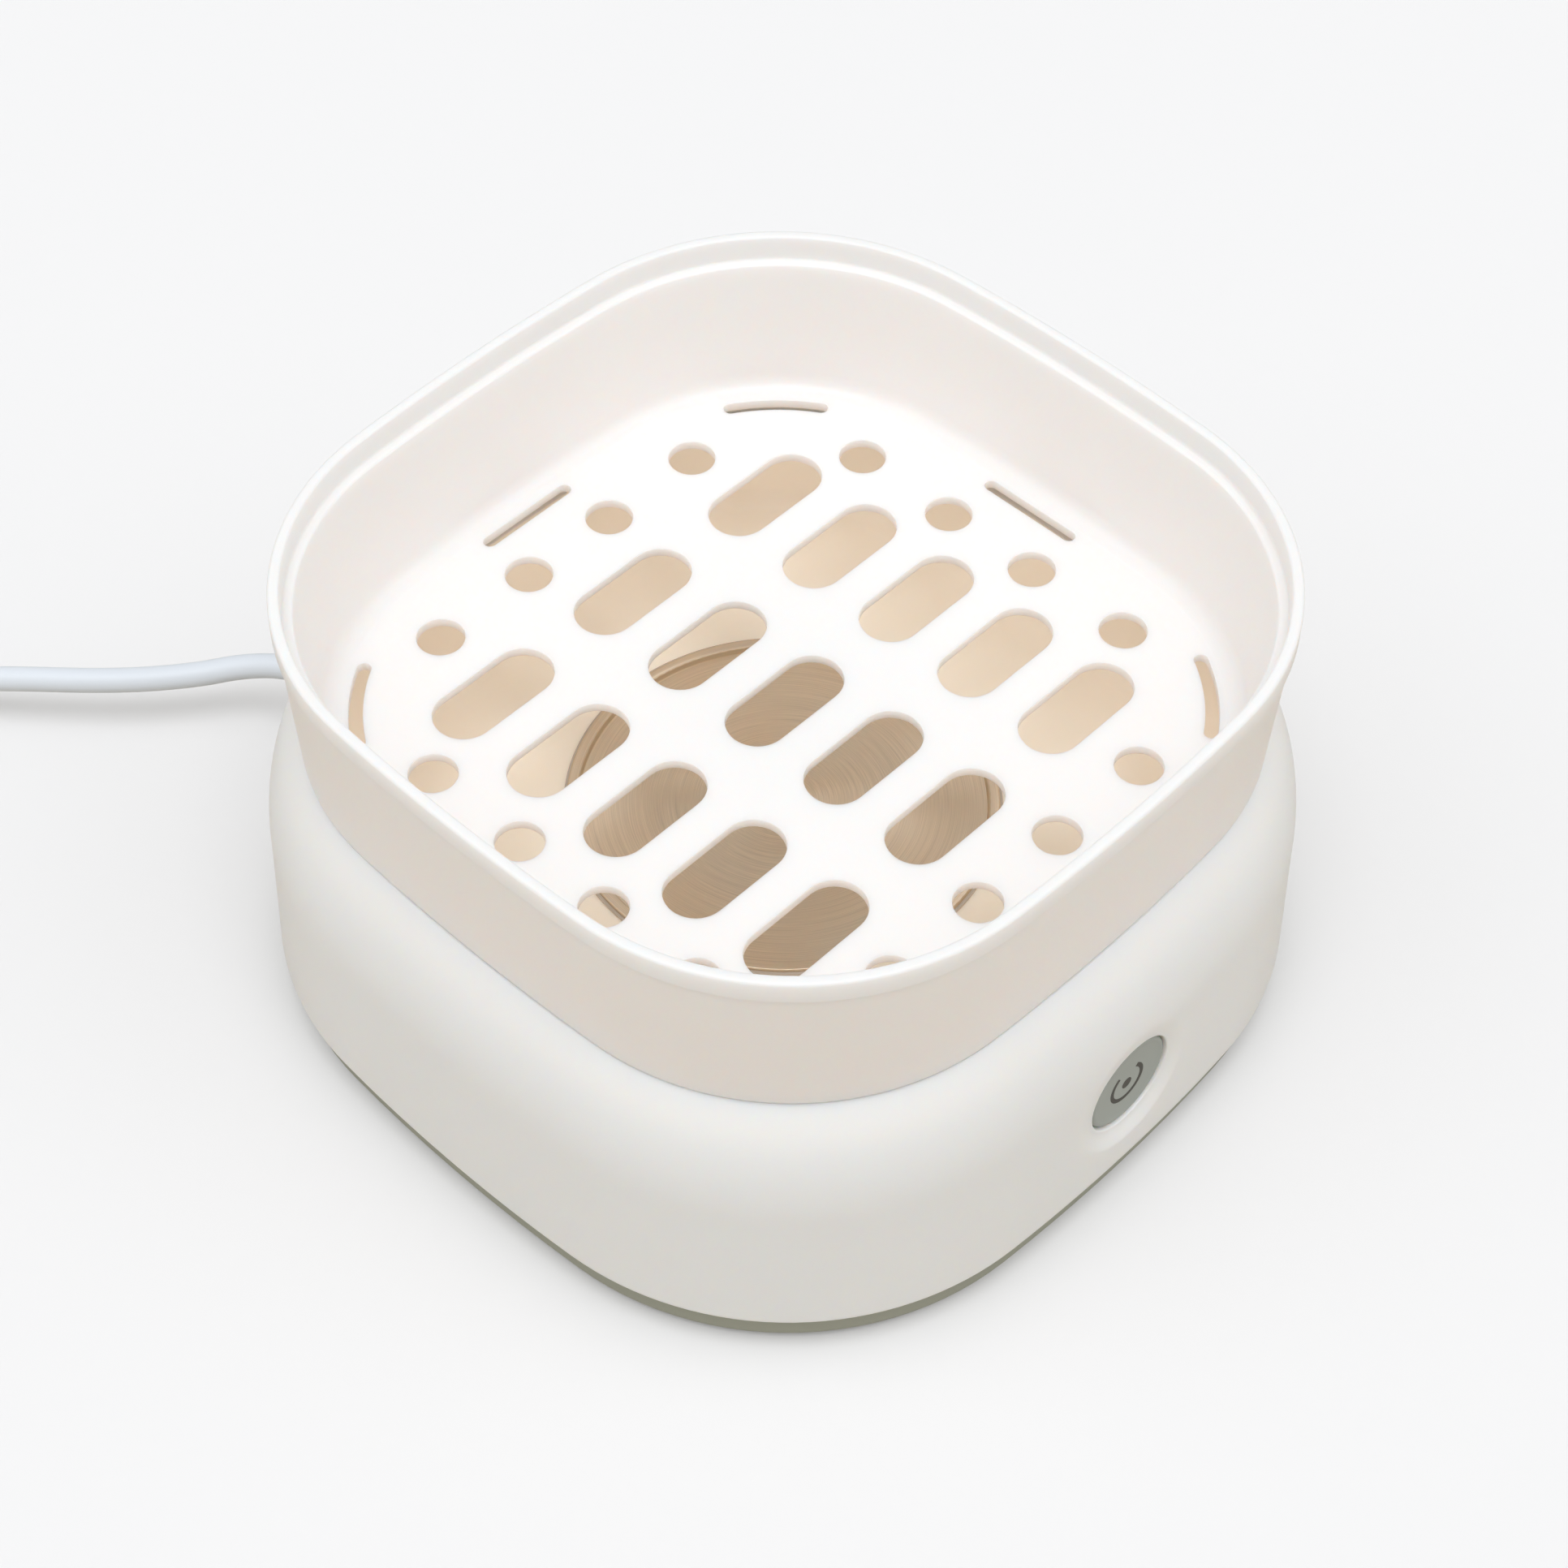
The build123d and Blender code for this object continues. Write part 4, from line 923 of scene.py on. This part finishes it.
def add_base_shell():
    bm = bmesh.new()
    painted_glow_layer = bm.verts.layers.float.new("inside")
    sections, outer, inner = shell_rows()
    rows = []
    for kind, size, z in sections:
        made = square_row if kind == "square" else round_row
        rows.append(vertices(bm, made(shell_rays, shell_half, size, z)))
    left = side_steps // 2 - window_columns
    right = side_steps // 2 + window_columns
    pocket_outer = (outer[0], outer[0] + pocket_rows)
    pocket_inner = (inner[1] - pocket_rows, inner[1])
    windows = [
        (outer, left, right),
        (inner, left, right),
        (pocket_outer, *pocket_columns),
        (pocket_inner, *pocket_columns),
    ]

    def in_window(row, column):
        return any(first <= row < last and start <= column < end for (first, last), start, end in windows)

    loft(bm, rows, closed=True, skip=in_window)
    # faces from the recess down to the plate's opening show through the tray's holes, and are marked for a
    # painted warm tone and painted glow
    for (kind, size, z), row in zip(sections, rows):
        if z < ledge_z + 0.1 and z > bowl_under + 0.1 and size < bowl_top_half + 0.1:
            for at in row:
                at[painted_glow_layer] = 1.0
    # the pocket for the strain relief
    back_loops = pocket_loops(bm, window_frame(rows, *pocket_outer, *pocket_columns))
    back_loops.append(window_frame(rows, *reversed(pocket_inner), *pocket_columns))
    loft(bm, back_loops, closed=False)
    # the dish, from the outer window's frame to the hole's edge
    frame_loop = window_frame(rows, *outer, left, right)
    angles = [math.atan2(at.co.z / MM - button_z, at.co.x / MM) for at in frame_loop]
    ring_radius = dish_radius + dish_margin
    edge_radius = button_hole + button_hole_round
    loops = [frame_loop]

    def add_ring(radius, depth):
        places = [around_button(radius, angle) for angle in angles]
        loops.append(vertices(bm, [Vector((x, depth(x, z), z)) for x, z in places]))

    for share in (0.35, 0.7):
        row = []
        for at, angle in zip(frame_loop, angles):
            edge_x = at.co.x / MM
            edge_z = at.co.z / MM
            x = edge_x + (math.cos(angle) * ring_radius - edge_x) * share
            z = edge_z + (button_z + math.sin(angle) * ring_radius - edge_z) * share
            row.append(Vector((x, front_wall_y(x, z), z)))
        loops.append(vertices(bm, row))
    reach = ring_radius - button_hole - button_hole_round
    for step in range(dish_rings + 1):
        add_ring(ring_radius - reach * step / dish_rings, dished_y)
    for step in range(1, 5):
        turn = math.pi / 2 * step / 4
        radius = button_hole + button_hole_round * (1 - math.sin(turn))
        row = []
        for angle in angles:
            x, z = around_button(radius, angle)
            y = dished_y(*around_button(edge_radius, angle)) + button_hole_round * (1 - math.cos(turn))
            row.append(Vector((x, y, z)))
        loops.append(vertices(bm, row))
    # through the wall to the boss behind it, and out to the inner window's frame
    add_ring(button_hole, lambda x, z: boss_back_y)
    add_ring(dish_radius, lambda x, z: boss_back_y)
    add_ring(dish_radius, lambda x, z: front_wall_y(x, z, shell_wall))
    loops.append(window_frame(rows, *reversed(inner), left, right))
    loft(bm, loops, closed=False)
    bmesh.ops.recalc_face_normals(bm, faces=bm.faces)
    shade(bm)
    shell = link_mesh("shell", bm, shell_white)
    dress(shell, "base", "white_plastic", "base_shell")


# Push button: a cap with a hollowed face, a flange behind the wall and a stem, turned about one axis
cap_radius = 11.3
cap_round = 0.9
face_hollow = 0.45
flange_radius = 13.2
flange_thickness = 1.2
stem_radius = 3.0
slide_gap = 0.2
turn_steps = 96
face_radii = (1.0, 3.0, 5.0, 6.5, 7.5, 8.3, 9.0, 9.6, 10.1)    # of the rings across the hollow face
face_edge = 10.2
cap_face_y = box_mm("power_button")[0].y
stem_end_y = box_mm("power_button")[1].y
flange_y = boss_back_y + slide_gap


def cap_y(radius):
    """Depth of the cap's face, which is hollow towards its middle."""
    share = min(radius / (cap_radius - cap_round), 1.0)
    return cap_face_y + face_hollow * (1 - share**4)


def add_button():
    profile = [(radius, cap_y(radius)) for radius in face_radii]
    profile += rounded([
        (face_edge, cap_face_y, 0),
        (cap_radius, cap_face_y, cap_round),
        (cap_radius, flange_y, 0.1),
        (flange_radius, flange_y, 0.2),
        (flange_radius, flange_y + flange_thickness, 0.2),
        (stem_radius, flange_y + flange_thickness, 0.3),
        (stem_radius, stem_end_y, 0.2),
        (face_radii[0], stem_end_y, 0),
    ], 5)
    bm = bmesh.new()
    rows = []
    for radius, y in profile:
        row = []
        for step in range(turn_steps):
            x, z = around_button(radius, 2 * math.pi * step / turn_steps)
            row.append(Vector((x, y, z)))
        rows.append(vertices(bm, row))
    loft(bm, rows, closed=False)
    bm.faces.new(rows[0])
    bm.faces.new(rows[-1])
    bmesh.ops.recalc_face_normals(bm, faces=bm.faces)
    shade(bm)
    button = link_mesh("push_button", bm, button_grey)
    dress(button, "button", "button_plastic", "power_button")


add_tray()
add_base_shell()
add_button()

merged_copy("bottom_cover", "bottom_band", band_grey, "base", "grey_green_plastic")
merged_copy("rubber_feet", "feet", foot_rubber, "base", "rubber")
merged_copy("heating_plate", "plate", plate_steel, "base", "stainless")
merged_copy("plate_seal", "seal_ring", seal_silicone, "base", "silicone")
relief = merged_copy("strain_relief", "cord_relief", cord_rubber, "base", "cord_rubber")
plug = merged_copy("plug_body", "plug", cord_rubber, "base", "cord_rubber")
pins = merged_copy("plug_pins", "pins", pin_brass, "base", "brass")

# Inner pieces keep their CAD shapes
inner_finishes = {
    "cover_screws": screw_steel,
    "heat_spreader": soft_aluminium,
    "heating_element": soft_aluminium,
    "plate_clamp": screw_steel,
    "clamp_nuts": screw_steel,
    "thermostat": inner_dark,
    "thermal_fuse": inner_light,
    "fuse_clip": screw_steel,
    "button_guide": inner_light,
    "switch_plunger": inner_dark,
    "tact_switch": inner_dark,
    "control_board": board_green,
    "board_screws": screw_steel,
    "relay": inner_dark,
    "board_capacitor": inner_dark,
    "board_header": inner_light,
    "terminal_block": inner_light,
    "inner_leads": inner_light,
    "cord_inner_end": cord_pale,
    "cord_clamp": inner_light,
    "cord_clamp_screws": screw_steel,
}
for node, material in inner_finishes.items():
    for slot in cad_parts[node].material_slots:
        slot.material = material

cord.data.materials.append(cord_pale)
dress(cord, "base", "cord_sheath", "power_cord", "cord_coil")


# Symbol on the button: an open ring round a dot
symbol_radius = 4.57
symbol_stroke = 1.05
symbol_gap = 36.0          # half the ring's opening, in degrees
symbol_drop = 0.5          # its middle lies this far below the button's axis
dot_radius = 1.4
symbol_height = 0.04
symbol_depth = 0.3
symbol_steps = 48


def symbol_vertex(bm, radius, angle, lift):
    """A vertex this far in front of the cap's face."""
    x = math.cos(angle) * radius
    z = math.sin(angle) * radius - symbol_drop
    return bm.verts.new(metres(x, cap_y(math.hypot(x, z)) - lift, button_z + z))


def add_symbol():
    bm = bmesh.new()
    inner = symbol_radius - symbol_stroke / 2
    outer = symbol_radius + symbol_stroke / 2
    section = [
        (inner, -symbol_depth),
        (inner, symbol_height),
        (outer, symbol_height),
        (outer, -symbol_depth),
    ]
    rows = []
    for step in range(symbol_steps + 1):
        angle = math.radians(90 + symbol_gap + (360 - 2 * symbol_gap) * step / symbol_steps)
        rows.append([symbol_vertex(bm, radius, angle, lift) for radius, lift in section])
    loft(bm, rows, closed=False)
    bm.faces.new(rows[0])
    bm.faces.new(rows[-1])
    dot = []
    for lift in (-symbol_depth, symbol_height):
        turns = [2 * math.pi * step / symbol_steps for step in range(symbol_steps)]
        dot.append([symbol_vertex(bm, dot_radius, angle, lift) for angle in turns])
    loft(bm, dot, closed=False)
    bm.faces.new(dot[0])
    bm.faces.new(dot[1])
    bmesh.ops.recalc_face_normals(bm, faces=bm.faces)
    shade(bm)
    symbol = link_mesh("button_symbol", bm, symbol_dark)
    dress(symbol, "button", "dark_plastic")


add_symbol()


# Floor, light and background
background = 0.939
world_level = 0.52         # share of the light that comes evenly from all sides
world_tint = (1.01, 1.0, 0.98)
# soft lamps: name, where the light comes from, share, width in degrees, tint
lamps = [
    ("key_light", (-0.18, -0.18, 0.97), 0.34, 36.0, (0.985, 1.0, 1.04)),
    ("fill_left", (-0.5, 0.3, 0.8), 0.16, 50.0, (0.985, 1.0, 1.03)),
    ("fill_right", (0.3, -0.5, 0.8), 0.16, 50.0, (0.985, 1.0, 1.03)),
]
floor_tone = 0.84          # of the floor's colour in the camera's view
floor_drift = 0.002
floor_size = 6.0           # metres
floor_bounce = (0.60, 0.55, 0.48)    # its colour for the light that it throws back
floor_glow = 0.15          # share of the floor's look that shadows don't reach


def add_floor():
    bm = bmesh.new()
    bmesh.ops.create_grid(bm, x_segments=1, y_segments=1, size=floor_size)
    material, shader, add, links = new_material("floor_pale")
    place = add("ShaderNodeTexCoord").outputs["Object"]
    drift = add("ShaderNodeTexNoise", Vector=place, Scale=3.0)
    darker = (floor_tone - floor_drift,) * 3
    lighter = (floor_tone + floor_drift,) * 3
    tone = tone_mix(add, drift.outputs["Fac"], darker, lighter)
    seen = add("ShaderNodeLightPath").outputs["Is Camera Ray"]
    links.new(tone_mix(add, seen, floor_bounce, tone), shader.inputs["Base Color"])
    shader.inputs["Roughness"].default_value = 1.0
    shader.inputs["Specular IOR Level"].default_value = 0.0
    # the camera sees part of the floor's colour unshaded, so that the shadow stays close and soft
    plain = add("ShaderNodeEmission", Color=(background, background, background, 1))
    share = add("ShaderNodeMath", {"operation": "MULTIPLY"}, i0=seen, i1=floor_glow)
    mix = add("ShaderNodeMixShader", i0=share.outputs[0], i1=shader.outputs[0], i2=plain.outputs[0])
    output = material.node_tree.nodes["Material Output"]
    links.new(mix.outputs[0], output.inputs["Surface"])
    link_mesh("floor", bm, material)


def add_light():
    for name, source, level, width, tint in lamps:
        data = bpy.data.lights.new(name, "SUN")
        data.angle = math.radians(width)
        data.energy = level * math.pi
        data.color = tint
        lamp = bpy.data.objects.new(name, data)
        lamp.rotation_euler = Vector(source).to_track_quat("Z", "Y").to_euler()
        bpy.context.scene.collection.objects.link(lamp)
    world = bpy.data.worlds.new("studio")
    world.use_nodes = True
    tree = world.node_tree
    add = node_adder(tree)
    backdrop = tree.nodes["Background"]
    backdrop.inputs["Color"].default_value = (background, background, background, 1)
    light = add("ShaderNodeBackground", Color=(*(world_level * tint for tint in world_tint), 1))
    seen = add("ShaderNodeLightPath").outputs["Is Camera Ray"]
    mix = add("ShaderNodeMixShader", i0=seen, i1=light.outputs[0], i2=backdrop.outputs[0])
    tree.links.new(mix.outputs[0], tree.nodes["World Output"].inputs["Surface"])
    bpy.context.scene.world = world


add_floor()
add_light()
bpy.context.scene.view_settings.view_transform = "Standard"
